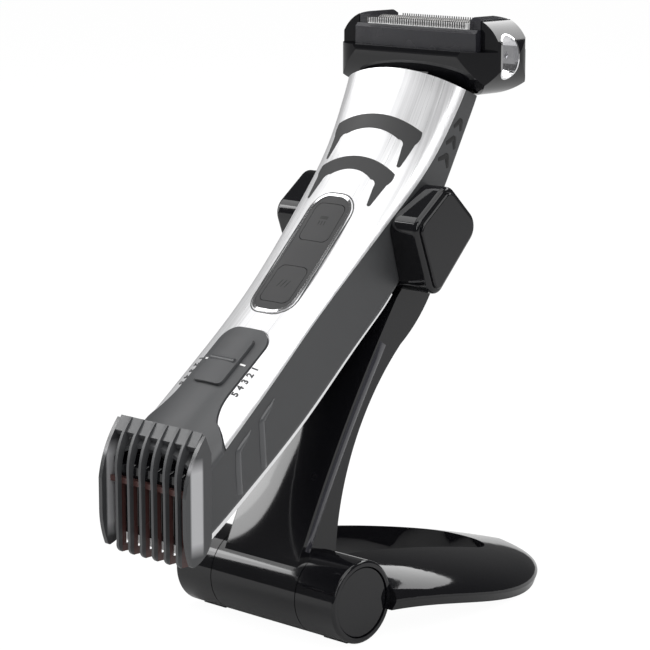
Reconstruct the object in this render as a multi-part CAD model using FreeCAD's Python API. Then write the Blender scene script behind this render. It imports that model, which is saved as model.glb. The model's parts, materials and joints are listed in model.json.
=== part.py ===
import FreeCAD, Part
import math
import os

V = FreeCAD.Vector

# Body groomer resting on its folding charging stand.
# X runs across the object, +Y points to the back of the stand and +Z points up.  Everything is
# laid out with the stand's hinge axis over Y = 0, and PLACE_Y then centres the object on Y.

# ---------------------------------------------------------------- driving dimensions (mm)
BARREL_R = 12.0            # hinge barrel, which also carries the front of the stand
BARREL_HALF = 32.0         # half length of the barrel
SEAM_X = 17.0              # the middle of the barrel belongs to the upright
HINGE_Z = BARREL_R
PIN_R = 3.0

LOOP_TIP_Y = 98.0          # back end of the base
LOOP_HALF_W = 39.0         # widest half width of the base
LOOP_HOLE_END_Y = 79.0
LOOP_TOP_Z = 24.4          # crown of the base where it leaves the barrel
LOOP_TIP_Z = 4.6
LOOP_WALL = 2.2

ARM_HALF_W = 14.6          # upright, between its two side faces
ARM_WALL = 2.0

HANDLE_START = (-42.4, 56.9)   # lower end of the parting line, (y, z)
LEAN_LOW, LEAN_MID, LEAN_TOP = 38.0, 44.0, 68.0   # direction of the handle, degrees above level
LEN_LOW, LEN_TOP = 100.0, 36.0                    # lengths of the two arcs of the handle
HANDLE_END_Y = -44.0       # upright face at the trimmer end
SHELL_WALL = 1.8
REAR_CROWN = 4.0
SIDE_TAPER = 0.8

# handle sections: distance along the handle, half width, dome height, depth of the dark side
STATIONS = [
    (-28.0, 17.2, 7.0, 12.5),
    (-12.0, 17.0, 6.8, 14.4),
    (3.0, 16.7, 6.4, 15.6),
    (18.0, 16.3, 5.8, 16.8),
    (34.0, 15.9, 5.0, 17.7),
    (50.0, 15.5, 4.4, 18.0),
    (64.0, 15.9, 4.5, 17.9),
    (78.0, 16.9, 5.2, 17.2),
    (92.0, 18.2, 6.2, 15.2),
    (104.0, 19.5, 6.8, 11.8),
    (116.0, 20.8, 7.0, 8.4),
    (128.0, 22.0, 7.0, 6.6),
    (144.0, 23.0, 7.0, 6.0),
]

HEAD_Y, HEAD_Z = 64.5, 161.0   # centre of the shaver head
HEAD_HALF_W = 31.8
HEAD_DEPTH_R, HEAD_HEIGHT_R = 12.2, 12.0
RIM_Z = 162.5              # front rim of the head's lower housing
BLOCK_HALF_W = 23.6        # foil block
FOIL_HALF_W = 19.6

COMB_FRONT_Y = -52.4       # front edges of the comb's ribs
COMB_TIP_Z = 28.8
RIB_COUNT = 6
RIB_PITCH = 4.8
RIB_T = 0.95
CHEEK_X = 17.1

FIT = 0.05                 # running clearance of pins and shafts

PLACE_Y = -(LOOP_TIP_Y + COMB_FRONT_Y - 1.6) / 2.0


# ---------------------------------------------------------------- general helpers
def box(x0, x1, y0, y1, z0, z1):
    return Part.makeBox(x1 - x0, y1 - y0, z1 - z0, V(x0, y0, z0))


def sym_box(half, y0, y1, z0, z1):
    return box(-half, half, y0, y1, z0, z1)


def rod(start, end, radius):
    """Cylinder between two points."""
    a, b = V(*start), V(*end)
    return Part.makeCylinder(radius, (b - a).Length, a, b - a)


def fuse(shapes):
    shapes = list(shapes)
    out = shapes[0]
    if len(shapes) > 1:
        out = out.multiFuse(shapes[1:])
    return out.removeSplitter()


def side_prism(points, x0, x1):
    """Prism over an outline in the (y, z) plane, from x0 to x1."""
    pts = [V(x0, y, z) for y, z in points]
    face = Part.Face(Part.makePolygon(pts + pts[:1]))
    return face.extrude(V(x1 - x0, 0, 0))


def mirror_x(shape):
    return shape.mirror(V(0, 0, 0), V(1, 0, 0))


def both(shape):
    return Part.makeCompound([shape, mirror_x(shape)])


def arc_wire(segments):
    """Closed wire of straight lines (two points) and arcs (three points)."""
    edges = []
    for seg in segments:
        if len(seg) == 2:
            edges.append(Part.makeLine(seg[0], seg[1]))
        else:
            edges.append(Part.Arc(*seg).toShape())
    return Part.Wire(edges)


def rounded_rect(half_a, half_b, radius, a_dir, b_dir, centre):
    """Rounded rectangle as a wire in the plane of two directions."""
    def at(a, b):
        return centre + a_dir * a + b_dir * b
    r, k = radius, radius * (1 - math.sqrt(0.5))
    ha, hb = half_a, half_b
    segs = []
    for sa, sb in ((1, 1), (-1, 1), (-1, -1), (1, -1)):
        corner = (at(sa * ha, sb * (hb - r)), at(sa * (ha - k), sb * (hb - k)), at(sa * (ha - r), sb * hb))
        segs.append(corner if sa * sb > 0 else corner[::-1])
    joined = []
    for i, seg in enumerate(segs):
        joined.append(seg)
        nxt = segs[(i + 1) % len(segs)]
        if (seg[-1] - nxt[0]).Length > 1e-6:
            joined.append((seg[-1], nxt[0]))
    return arc_wire(joined)


# ---------------------------------------------------------------- the handle's curved frame
def spine(t):
    """Point (y, z) and direction in radians, at a distance t along the parting line."""
    lo, mid, top = (math.radians(a) for a in (LEAN_LOW, LEAN_MID, LEAN_TOP))
    def arc(y, z, a0, a1, length, s):
        r = length / (a1 - a0)
        a = a0 + s / r
        return y + r * (math.sin(a) - math.sin(a0)), z + r * (math.cos(a0) - math.cos(a)), a
    y, z, a = arc(HANDLE_START[0], HANDLE_START[1], lo, mid, LEN_LOW, min(t, LEN_LOW))
    if t > LEN_LOW:
        y, z, a = arc(y, z, mid, top, LEN_TOP, t - LEN_LOW)
    return y, z, a


class Frame:
    """Straight frame tangent to the handle at t: x across, t along, n out of the front."""
    def __init__(self, t):
        self.t = t
        y, z, a = spine(t)
        self.o = V(0, y, z)
        self.along = V(0, math.cos(a), math.sin(a))
        self.out = V(0, -math.sin(a), math.cos(a))

    def at(self, x, t, n):
        return self.o + V(x, 0, 0) + self.along * (t - self.t) + self.out * n

    def box(self, x0, x1, t0, t1, n0, n1):
        pts = [self.at(x0, t0, n0), self.at(x0, t1, n0), self.at(x0, t1, n1), self.at(x0, t0, n1)]
        return Part.Face(Part.makePolygon(pts + pts[:1])).extrude(V(x1 - x0, 0, 0))

    def rod(self, x, t0, t1, n, radius):
        a, b = self.at(x, t0, n), self.at(x, t1, n)
        return Part.makeCylinder(radius, (b - a).Length, a, b - a)

    def post(self, x, t, n0, n1, radius):
        a, b = self.at(x, t, n0), self.at(x, t, n1)
        return Part.makeCylinder(radius, (b - a).Length, a, b - a)

    def plate(self, half_x, t0, t1, n0, n1, radius, x=0.0):
        """Rounded rectangular plate seen from the front, between two heights."""
        c = self.at(x, (t0 + t1) / 2, n0)
        wire = rounded_rect(half_x, (t1 - t0) / 2, radius, V(1, 0, 0), self.along, c)
        return Part.Face(wire).extrude(self.out * (n1 - n0))


def station_values(t):
    """Half width, dome height and side depth at t, between the two nearest stations."""
    for a, b in zip(STATIONS, STATIONS[1:]):
        if t <= b[0] or b is STATIONS[-1]:
            k = (t - a[0]) / (b[0] - a[0])
            return [p + (q - p) * k for p, q in zip(a[1:], b[1:])]


def half_ellipse(frame, width, height, n0, reverse=False):
    """Half ellipse across the handle that bulges by height from the level n0."""
    c = frame.at(0, frame.t, n0)
    tip = frame.at(0, frame.t, n0 + height)
    e = Part.Ellipse(frame.at(-width if reverse else width, frame.t, n0), tip, c)
    return Part.Arc(e, 0.0, math.pi).toShape()


def front_wire(t, outer, inner):
    """Crescent between two offsets of the front dome."""
    w, hf = station_values(t)[:2]
    f = Frame(t)
    a = half_ellipse(f, w - outer, hf - outer, 0)
    b = half_ellipse(f, w - inner, hf - inner, 0, reverse=True)
    left = Part.makeLine(f.at(-(w - outer), t, 0), f.at(-(w - inner), t, 0))
    right = Part.makeLine(f.at(w - inner, t, 0), f.at(w - outer, t, 0))
    return Part.Wire([a, left, b, right])


def rear_wire(t, outer, inner, top=-0.15):
    """U of the dark side walls and the back, between two offsets."""
    w, _, hs = station_values(t)
    f = Frame(t)
    wb = w - SIDE_TAPER
    p = [f.at(w - outer, t, top), f.at(wb - outer, t, -hs), f.at(-(wb - outer), t, -hs),
         f.at(-(w - outer), t, top)]
    q = [f.at(w - inner, t, top), f.at(wb - inner, t, -hs), f.at(-(wb - inner), t, -hs),
         f.at(-(w - inner), t, top)]
    return Part.Wire([
        Part.makeLine(p[0], p[1]),
        half_ellipse(f, wb - outer, -(REAR_CROWN - outer), -hs),
        Part.makeLine(p[2], p[3]),
        Part.makeLine(p[3], q[3]),
        Part.makeLine(q[3], q[2]),
        half_ellipse(f, wb - inner, -(REAR_CROWN - inner), -hs, reverse=True),
        Part.makeLine(q[1], q[0]),
        Part.makeLine(q[0], p[0]),
    ])


def body_wire(t, grow):
    """Whole outline of the handle, grown by a distance."""
    w, hf, hs = station_values(t)
    f = Frame(t)
    w, wb = w + grow, w - SIDE_TAPER + grow
    return Part.Wire([
        half_ellipse(f, w, hf + grow, 0),
        Part.makeLine(f.at(-w, t, 0), f.at(-wb, t, -hs)),
        half_ellipse(f, wb, -(REAR_CROWN + grow), -hs, reverse=True),
        Part.makeLine(f.at(wb, t, -hs), f.at(w, t, 0)),
    ])


def handle_loft(wire):
    return Part.makeLoft([wire(s[0]) for s in STATIONS], True, False)


def head_envelope(grow):
    """Side profile of the shaver head as a long prism, grown by a distance."""
    e = Part.Ellipse(V(-60, HEAD_Y + HEAD_DEPTH_R + grow, HEAD_Z), V(-60, HEAD_Y,
                                                                     HEAD_Z + HEAD_HEIGHT_R + grow),
                     V(-60, HEAD_Y, HEAD_Z))
    return Part.Face(Part.Wire([e.toShape()])).extrude(V(120, 0, 0))


TOP = Frame(LEN_LOW + LEN_TOP)
NECK_GAP = 0.4


def handle_limits(y_end=HANDLE_END_Y, arch=2.7, radius=88.0):
    """Solid that trims the handle: upright lower face, arched top edge, room for the head."""
    t_end = LEN_LOW + LEN_TOP + arch
    disc = Part.makeCylinder(radius, 80, TOP.at(0, t_end - radius, -40), TOP.out)
    low = box(-60, 60, y_end, 80, 0, 140)
    return fuse([disc, low]).common(box(-60, 60, y_end, 100, 0, 200)).cut(head_envelope(NECK_GAP))


# ---------------------------------------------------------------- handle shells
def front_shell(cutters):
    s = handle_loft(lambda t: front_wire(t, 0.0, SHELL_WALL)).common(handle_limits())
    for c in cutters:
        s = s.cut(c)
    return s


def skin(depth, lift=0.0):
    """Thin layer of the front dome, used for everything that is let into it."""
    return handle_loft(lambda t: front_wire(t, -lift, depth)).common(handle_limits())


def boomerang(t_top, half_w):
    """Prism of an arched bar with two legs that taper down the handle."""
    f = Frame(t_top)
    rise, leg, bar = 3.4, INLAY_LEG, INLAY_BAR
    inner, tip = half_w - 4.0, half_w - 1.8
    right = [
        ((half_w, -rise), (half_w + 0.2, -rise - 2.0), (half_w - 0.6, -rise - 4.2)),
        ((half_w - 0.6, -rise - 4.2), (tip, -leg)),
        ((tip, -leg), (tip - 0.7, -leg - 0.6), (tip - 1.2, -leg)),
        ((tip - 1.2, -leg), (inner, -rise - bar - 1.2)),
        ((inner, -rise - bar - 1.2), (inner - 0.6, -rise - bar + 0.5), (inner - 2.2, -rise - bar + 1.0)),
    ]
    left = [tuple((-x, t) for x, t in reversed(seg)) for seg in reversed(right)]
    top = [((-half_w, -rise), (0, 0), (half_w, -rise))]
    under = [((inner - 2.2, -rise - bar + 1.0), (0, -bar), (2.2 - inner, -rise - bar + 1.0))]
    segs = [tuple(f.at(x, t_top + t, -2.0) for x, t in seg) for seg in top + right + under + left]
    return Part.Face(arc_wire(segs)).extrude(f.out * 14.0)


INLAY_DEPTH = 0.7
INLAY_PROUD = 0.08
INLAYS = ((123.0, 16.4), (107.5, 14.2))    # top edge and half width
INLAY_LEG, INLAY_BAR = 15.0, 4.6


def grip_inlays(lift):
    """The two soft inlays, standing out of the silver shell by a small lift."""
    return [skin(INLAY_DEPTH, lift).common(boomerang(t, half_w)) for t, half_w in INLAYS]


PANEL_T0, PANEL_T1 = 51.0, 92.0
PANEL_HALF_W = 7.2
BUTTON_LEN, BUTTON_HALF_W = 13.0, 5.6
BUTTONS = {"shaver_button": 83.0, "trimmer_button": 60.5}
TONGUE_T1 = 43.0
TONGUE_HALF_W = 9.2


def panel_prism(grow, n0=-1.0, n1=9.0):
    f = Frame((PANEL_T0 + PANEL_T1) / 2)
    return f.plate(PANEL_HALF_W + grow, PANEL_T0 - grow, PANEL_T1 + grow, n0, n1, 5.4 + grow)


def button_prism(t, grow, n0=-1.0, n1=9.0):
    f = Frame(t)
    half = BUTTON_LEN / 2 + grow
    return f.plate(BUTTON_HALF_W + grow, t - half, t + half, n0, n1, 2.2)


def rear_trim():
    """Bright strip let into each rear edge, from the trimmer end to the yoke."""
    def wire(t):
        w, _, hs = station_values(t)
        f = Frame(t)
        k = max(0.35, 1.0 - (t + 18.0) / 150.0)
        wb = w - SIDE_TAPER
        pts = [f.at(wb - 1.0, t, -hs - 0.2), f.at(wb + 0.25, t, -hs - 0.2),
               f.at(wb + 0.25, t, -hs - 0.2 - 1.3 * k), f.at(wb - 1.0, t, -hs - 0.2 - 1.3 * k)]
        return Part.makePolygon(pts + pts[:1])
    strip = Part.makeLoft([wire(s[0]) for s in STATIONS[:8]], True, False)
    return both(strip.common(handle_limits()))


def rear_shell(trim):
    s = handle_loft(lambda t: rear_wire(t, 0.0, SHELL_WALL)).common(handle_limits())
    for piece in trim.Solids:
        s = s.cut(piece)
    for hole in case_screw_holes():
        s = s.cut(hole)
    for hole in contact_holes():
        s = s.cut(hole)
    return s


SCREW_TS = (22.0, 112.0)


def case_screw_at(t, radius, head_radius):
    hs = station_values(t)[2]
    f = Frame(t)
    back = -(hs + REAR_CROWN)
    shank = f.post(0, t, back + 0.3, back + 4.2, radius)
    head = f.post(0, t, back + 0.3, back + 1.1, head_radius)
    return fuse([shank, head])


def case_screw_holes():
    out = []
    for t in SCREW_TS:
        hs = station_values(t)[2]
        f = Frame(t)
        back = -(hs + REAR_CROWN)
        out.append(f.post(0, t, back - 2.0, back + 1.1, 1.65))
        out.append(f.post(0, t, back - 2.0, back + 4.0, 0.85))
    return out


def case_screws():
    return Part.makeCompound([case_screw_at(t, 0.8, 1.6) for t in SCREW_TS])


CONTACT_T = 96.0
CONTACT_X = 5.0


def contact_holes():
    hs = station_values(CONTACT_T)[2]
    f = Frame(CONTACT_T)
    back = -(hs + REAR_CROWN)
    return [f.post(x, CONTACT_T, back - 2.0, back + 3.0, 1.8) for x in (-CONTACT_X, CONTACT_X)]


def charge_contacts():
    """Two round studs in the back of the handle."""
    hs = station_values(CONTACT_T)[2]
    f = Frame(CONTACT_T)
    back = -(hs + REAR_CROWN)
    studs = []
    for x in (-CONTACT_X, CONTACT_X):
        face = f.post(x, CONTACT_T, back + 0.45, back + 3.4, 1.8)
        studs.append(face)
    return Part.makeCompound(studs)


# ---------------------------------------------------------------- inside the handle
BATTERY_R, BATTERY_LEN, BATTERY_T0 = 7.25, 49.0, 30.0
BATTERY_N = -9.6
BOARD_T0, BOARD_T1, BOARD_N = 47.0, 95.0, 0.0


def battery():
    f = Frame(BATTERY_T0 + BATTERY_LEN / 2)
    can = f.rod(0, BATTERY_T0, BATTERY_T0 + BATTERY_LEN, BATTERY_N, BATTERY_R)
    nub = f.rod(0, BATTERY_T0 + BATTERY_LEN - 0.1, BATTERY_T0 + BATTERY_LEN + 1.2, BATTERY_N, 2.6)
    return fuse([can, nub])


def battery_contacts():
    f = Frame(BATTERY_T0 + BATTERY_LEN / 2)
    t0, t1 = BATTERY_T0, BATTERY_T0 + BATTERY_LEN + 1.2
    rear = f.box(-4, 4, t0 - 0.5, t0, BATTERY_N - 4, BATTERY_N + 8.6)
    front = f.box(-4, 4, t1, t1 + 0.5, BATTERY_N - 4, BATTERY_N + 8.6)
    return Part.makeCompound([rear, front])


def chassis():
    """Open tray that holds the battery, the two motors and the board."""
    f = Frame(BATTERY_T0 + BATTERY_LEN / 2)
    t0, t1 = BATTERY_T0 - 2.2, BATTERY_T0 + BATTERY_LEN + 3.4
    tray = f.box(-9.0, 9.0, t0, t1, BATTERY_N - 8.2, BATTERY_N - 1.0)
    room = f.box(-7.6, 7.6, t0 + 1.4, t1 - 1.4, BATTERY_N - 4.0, BATTERY_N)
    bed = f.rod(0, t0 + 1.4, t1 - 1.4, BATTERY_N, BATTERY_R)
    tray = tray.cut(room).cut(bed)
    ribs = []
    for t in (t0 + 0.2, t1 - 1.2):
        ribs.append(f.box(-9.0, 9.0, t, t + 1.0, BATTERY_N - 2.0, BOARD_N - 1.2))
    posts = [f.box(sx * 9.0 - 1.0, sx * 9.0 + 1.0, t, t + 4.0, BATTERY_N - 6.0, BOARD_N - 1.1)
             for sx in (-1, 1) for t in (t0 + 22.0, t1 - 6.0)]
    return fuse([tray] + ribs + posts).cut(f.rod(0, t0 - 5, t1 + 5, BATTERY_N, BATTERY_R)).cut(
        fuse(battery_contacts().Solids))


def circuit_board():
    f = Frame((BOARD_T0 + BOARD_T1) / 2)
    board = f.plate(10.5, BOARD_T0, BOARD_T1, BOARD_N - 0.4, BOARD_N + 0.4, 1.5)
    parts = [f.box(-8.0, -4.5, 68.0, 74.0, BOARD_N + 0.3, BOARD_N + 1.3),
             f.box(2.0, 7.0, 67.5, 72.5, BOARD_N + 0.3, BOARD_N + 1.2),
             f.box(-3.0, 2.0, 91.0, 94.0, BOARD_N + 0.3, BOARD_N + 1.4)]
    return fuse([board] + parts)


def tact_switch(t):
    f = Frame((BOARD_T0 + BOARD_T1) / 2)
    return f.box(-2.2, 2.2, t - 2.2, t + 2.2, BOARD_N + 0.4, BOARD_N + 1.0)


def tact_switches():
    return Part.makeCompound([tact_switch(t) for t in BUTTONS.values()])


BUTTON_TRAVEL = 0.4


def button_panel():
    """Soft-touch panel with a window for each button."""
    layer = skin(1.5)
    s = layer.common(panel_prism(0.0))
    for t in BUTTONS.values():
        s = s.cut(button_prism(t, 0.15))
    return s


def button_bezel():
    layer = skin(1.1, lift=0.25)
    return layer.common(panel_prism(0.85)).cut(panel_prism(0.0))


def push_button(t):
    """Flush cap on a short plunger over its switch."""
    cap = skin(1.1).common(button_prism(t, 0.0))
    f = Frame((BOARD_T0 + BOARD_T1) / 2)
    plunger = f.post(0, t, BOARD_N + 1.0 + BUTTON_TRAVEL + 0.05, 6.5, 1.2)
    inside = handle_loft(lambda s: body_wire(s, -0.9))
    return fuse([cap, plunger.common(inside)])


MOTOR_R, MOTOR_LEN = 6.0, 20.0            # shaver motor
SHAVER_MOTOR_T0, SHAVER_MOTOR_N = 99.0, -2.6
SHAVER_F = Frame(SHAVER_MOTOR_T0 + MOTOR_LEN)
TRIM_MOTOR_Z, TRIM_MOTOR_Y0 = 50.6, -28.4
TRIM_MOTOR_R, TRIM_MOTOR_LEN = 4.7, 13.5


def motor(point, r, length):
    """Motor can with end boss; point(s) gives the place at a distance s along its axis."""
    can = rod(point(0), point(length), r)
    boss = rod(point(length - 0.1), point(length + 1.2), 2.0)
    tabs = rod(point(-1.0), point(0.1), 1.4)
    bore = rod(point(length - 6.0), point(length + 2.0), SHAFT_R + FIT)
    return fuse([can, boss, tabs]).cut(bore)


def shaver_axis(s):
    p = SHAVER_F.at(0, SHAVER_MOTOR_T0 + s, SHAVER_MOTOR_N)
    return (p.x, p.y, p.z)


def trimmer_axis(s):
    return (0.0, TRIM_MOTOR_Y0 - s, TRIM_MOTOR_Z)


def eccentric(point, length, start, pin_len, aside):
    """Shaft with a disc and a drive pin that stands off the axis along aside."""
    shaft = rod(point(length - 5.6), point(start + 0.1), SHAFT_R)
    disc_end = start + ECC_DISC_T
    disc = rod(point(start), point(disc_end), 2.6)
    a = V(*point(disc_end - 0.1)) + aside * ECC_THROW
    b = V(*point(disc_end + pin_len)) + aside * ECC_THROW
    pin = Part.makeCylinder(0.6, (b - a).Length, a, b - a)
    return fuse([shaft, disc, pin])


SHAFT_R = 0.8
ECC_THROW = 0.5
ECC_DISC_T = 1.2
SLOT_HALF_W = 2 * ECC_THROW + 0.75  # the slots clear the pin wherever the blades stand
SHAVER_ECC_START, SHAVER_PIN_LEN = MOTOR_LEN + 1.6, 26.4
TRIM_ECC_START, TRIM_PIN_LEN = TRIM_MOTOR_LEN + 2.5, 1.3


def shaver_eccentric():
    return eccentric(shaver_axis, MOTOR_LEN, SHAVER_ECC_START, SHAVER_PIN_LEN, SHAVER_F.out)


def trimmer_eccentric():
    return eccentric(trimmer_axis, TRIM_MOTOR_LEN, TRIM_ECC_START, TRIM_PIN_LEN, V(0, 0, 1))


def end_plate():
    """Wall that closes the trimmer end of the handle, with a hole for the drive."""
    core = handle_loft(lambda t: body_wire(t, -SHELL_WALL - 0.05))
    s = core.common(box(-30, 30, HANDLE_END_Y, HANDLE_END_Y + 1.6, 0, 140))
    return s.cut(rod(trimmer_axis(0), trimmer_axis(40), 3.0))


def neck_collar():
    """Plug-in socket in the head end of the handle."""
    core = handle_loft(lambda t: body_wire(t, -SHELL_WALL - 0.05))
    slab = SHAVER_F.box(-30, 30, 127.0, 150.0, -40, 40)
    s = core.common(slab).common(handle_limits())
    return s.cut(neck_plug(0.3, 100.0))


def neck_seal():
    rim = 1.4
    a = SHAVER_F.box(-NECK_HALF_W - rim, NECK_HALF_W + rim, 125.6, 126.9, NECK_N0 - rim, NECK_N1 + rim)
    return a.cut(neck_plug(0.3, 100.0))


NECK_HALF_W, NECK_N0, NECK_N1 = 8.0, -6.0, 3.4


def neck_plug(grow, t0=128.0, t1=146.0):
    return SHAVER_F.box(-NECK_HALF_W - grow, NECK_HALF_W + grow, t0, t1, NECK_N0 - grow, NECK_N1 + grow)


def drive_bore(radius=2.4):
    return rod(shaver_axis(MOTOR_LEN), shaver_axis(MOTOR_LEN + 40), radius)


# ---------------------------------------------------------------- shaver head
BAY_HALF_W, BAY_Y0, BAY_Y1, BAY_Z = 24.0, 55.5, 73.5, 156.3
HOOP_Y0, HOOP_Y1 = 58.4, 71.0
HOLE_Y, HOLE_HALF_W, HOLE_Z0, HOLE_Z1 = 62.9, 3.6, 154.4, 167.6
LINER_T, LINER_FLOOR_X = 0.5, 24.3
PIVOT_R = 0.9
BLOCK_Y0, BLOCK_Y1, BLOCK_Z0, BLOCK_Z1 = 56.3, 72.7, 158.0, 168.6


def head_outline(y0, y1):
    """Rounded outline of the head seen from the front, as a prism along Y."""
    def p(x, z):
        return V(x, y0, z)
    w, top, low = HEAD_HALF_W, 173.0, 149.0
    segs = [
        (p(-20, top - 1.0), p(0, top), p(20, top - 1.0)),
        (p(20, top - 1.0), p(w - 3.0, top - 5.2), p(w, HEAD_Z)),
        (p(w, HEAD_Z), p(w - 3.0, low + 5.0), p(21, low + 0.6)),
        (p(21, low + 0.6), p(0, low - 0.2), p(-21, low + 0.6)),
        (p(-21, low + 0.6), p(3.0 - w, low + 5.0), p(-w, HEAD_Z)),
        (p(-w, HEAD_Z), p(3.0 - w, top - 5.2), p(-20, top - 1.0)),
    ]
    return Part.Face(arc_wire(segs)).extrude(V(0, y1 - y0, 0))


def head_plan(y0, y1, corner):
    """Outline of the head from above, with round ends, as an upright prism."""
    mid, half = (y0 + y1) / 2, (y1 - y0) / 2
    wire = rounded_rect(HEAD_HALF_W, half, corner, V(1, 0, 0), V(0, 1, 0), V(0, mid, 140))
    return Part.Face(wire).extrude(V(0, 0, 50))


def end_hole(grow, x0, x1):
    """Upright oval opening in the right end of the head, along its length."""
    r = HOLE_HALF_W + grow
    c0, c1 = HOLE_Z0 + HOLE_HALF_W, HOLE_Z1 - HOLE_HALF_W
    body = box(x0, x1, HOLE_Y - r, HOLE_Y + r, c0, c1)
    ends = [rod((x0, HOLE_Y, c), (x1, HOLE_Y, c), r) for c in (c0, c1)]
    return fuse([body] + ends)


def head_body():
    """Outer form of the head before anything is let into it."""
    s = head_outline(40, 90).common(head_envelope(0.0))
    return s.common(head_plan(HEAD_Y - HEAD_DEPTH_R, HEAD_Y + HEAD_DEPTH_R, 12.0))


def head_housing():
    s = head_body()
    for y0, y1 in ((40, HOOP_Y0), (HOOP_Y1, 90)):
        s = s.cut(box(-60, 60, y0, y1, RIM_Z, 190))
    s = s.cut(box(-BAY_HALF_W, BAY_HALF_W, BAY_Y0, BAY_Y1, BAY_Z, 190))
    s = s.cut(box(-BAY_HALF_W, BAY_HALF_W, 40, 90, RIM_Z, 190))
    hole = end_hole(0.0, BAY_HALF_W - 1.0, 60.0)
    s = s.cut(hole).cut(mirror_x(hole))
    s = s.cut(rod((-26, HEAD_Y, HEAD_Z), (26, HEAD_Y, HEAD_Z), PIVOT_R + FIT))
    return s.cut(drive_bore())


def hoop_liners():
    """Bright cups in the two end openings; their floors carry the pivots of the foil block."""
    cup = end_hole(0.0, LINER_FLOOR_X, 60.0).cut(end_hole(-LINER_T, LINER_FLOOR_X + 1.4, 61.0))
    cup = cup.common(head_body())
    return both(cup.cut(rod((0, HEAD_Y, HEAD_Z), (60, HEAD_Y, HEAD_Z), PIVOT_R + FIT)))


def head_neck():
    """Oval foot of the head that plugs into the handle."""
    s = neck_plug(0.0).cut(head_envelope(0.0))
    s = s.common(box(-30, 30, 0, 90, 0, HEAD_Z))
    return s.cut(drive_bore())


def pivot_pins():
    return both(rod((BLOCK_HALF_W - 1.6, HEAD_Y, HEAD_Z), (25.4, HEAD_Y, HEAD_Z), PIVOT_R))


def foil_frame():
    hw = BLOCK_HALF_W
    c = 1.0
    outline = [(BLOCK_Y0, BLOCK_Z0), (BLOCK_Y1, BLOCK_Z0), (BLOCK_Y1, BLOCK_Z1 - c), (BLOCK_Y1 - c, BLOCK_Z1),
               (BLOCK_Y0 + c, BLOCK_Z1), (BLOCK_Y0, BLOCK_Z1 - c)]
    s = side_prism(outline, -hw, hw)
    ends = head_outline(HOOP_Y0, HOOP_Y1).common(sym_box(hw, HOOP_Y0, HOOP_Y1, BLOCK_Z1 - 1, 180))
    ends = ends.common(head_envelope(-0.2)).cut(sym_box(FOIL_HALF_W, 40, 90, 150, 190))
    s = fuse([s, ends])
    s = s.cut(sym_box(21.4, 59.6, 69.4, BLOCK_Z0 - 1, 166.0))
    s = s.cut(sym_box(FOIL_HALF_W, 59.9, 69.1, 165, 175))
    for y0, y1 in ((57.4, 59.5), (69.5, 71.6)):
        s = s.cut(sym_box(FOIL_HALF_W, y0, y1, 167.0, 175))
    return s.cut(rod((-26, HEAD_Y, HEAD_Z), (26, HEAD_Y, HEAD_Z), PIVOT_R))


FOIL_R, FOIL_Z, FOIL_T = 4.6, 166.2, 0.3


def shaving_foil():
    """Thin arched foil along the head."""
    tube = rod((-FOIL_HALF_W, HEAD_Y, FOIL_Z), (FOIL_HALF_W, HEAD_Y, FOIL_Z), FOIL_R)
    bore = rod((-FOIL_HALF_W, HEAD_Y, FOIL_Z), (FOIL_HALF_W, HEAD_Y, FOIL_Z), FOIL_R - FOIL_T)
    return tube.cut(bore).common(sym_box(30, 50, 80, FOIL_Z, 175))


def toothed_strip(y_tip, y_root):
    """Bright comb strip: a bar whose outer edge is cut into teeth."""
    y0, y1 = min(y_tip, y_root), max(y_tip, y_root)
    s = sym_box(FOIL_HALF_W, y0, y1, 167.0, 170.2)
    teeth, pitch = 43, 2 * FOIL_HALF_W / 44.0
    slot0 = y_tip if y_tip < y_root else y_tip - 1.1
    slots = [box(x - 0.2, x + 0.2, slot0 - 0.05, slot0 + 1.15, 169.3, 171)
             for x in (pitch * (i - (teeth - 1) / 2.0) for i in range(teeth))]
    return s.cut(Part.makeCompound(slots))


CUTTER_R, CUTTER_HALF_W = 4.0, 17.6
BLADE_PITCH, BLADE_T, BLADE_N = 1.6, 0.45, 22


def foil_cutter():
    """Row of arched blades under the foil."""
    back = rod((-CUTTER_HALF_W, HEAD_Y, FOIL_Z), (CUTTER_HALF_W, HEAD_Y, FOIL_Z), CUTTER_R - 1.4)
    back = back.common(sym_box(30, 50, 80, 165.2, 175))
    blades = []
    for i in range(BLADE_N):
        x = BLADE_PITCH * (i - (BLADE_N - 1) / 2.0)
        disc = rod((x - BLADE_T / 2, HEAD_Y, FOIL_Z), (x + BLADE_T / 2, HEAD_Y, FOIL_Z), CUTTER_R)
        blades.append(disc.common(sym_box(30, 50, 80, 165.2, 175)))
    return fuse([back] + blades)


def cutter_carrier():
    """Bridge that holds the cutter and takes the drive pin in a slot."""
    bar = sym_box(16.0, 61.2, 67.8, 162.9, 165.2)
    fork = box(-5.0, 5.0, 60.6, 68.2, 159.2, 162.9)
    slot = box(-SLOT_HALF_W, SLOT_HALF_W, 58.0, 66.2, 158.0, 164.2)
    return fuse([bar, fork]).cut(slot)


def tilt_springs():
    leaf = box(15.5, 21.0, 61.0, 68.0, BAY_Z, BAY_Z + 0.3)
    bump = rod((15.5, HEAD_Y, BAY_Z - 0.6), (21.0, HEAD_Y, BAY_Z - 0.6), 1.5)
    bump = bump.common(box(10, 30, 50, 80, BAY_Z, 170))
    return both(fuse([leaf, bump]))


# ---------------------------------------------------------------- trimmer end
FRAME_Y0, FRAME_Y1 = -48.9, HANDLE_END_Y


def trimmer_frame():
    """Black housing of the trimmer blades, in front of the handle's end."""
    outline = [(FRAME_Y1, 35.2), (FRAME_Y1, 55.8), (-46.0, 55.8), (FRAME_Y0, 53.0), (FRAME_Y0, 36.5),
               (-47.9, 33.6),
               (-45.6, 33.6)]
    s = side_prism(outline, -15.6, 15.6)
    s = s.cut(sym_box(13.9, -47.9, FRAME_Y1 + 1, 36.2, 53.8))
    return s.cut(sym_box(14.0, -47.9, -46.2, 30, 37))


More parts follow.
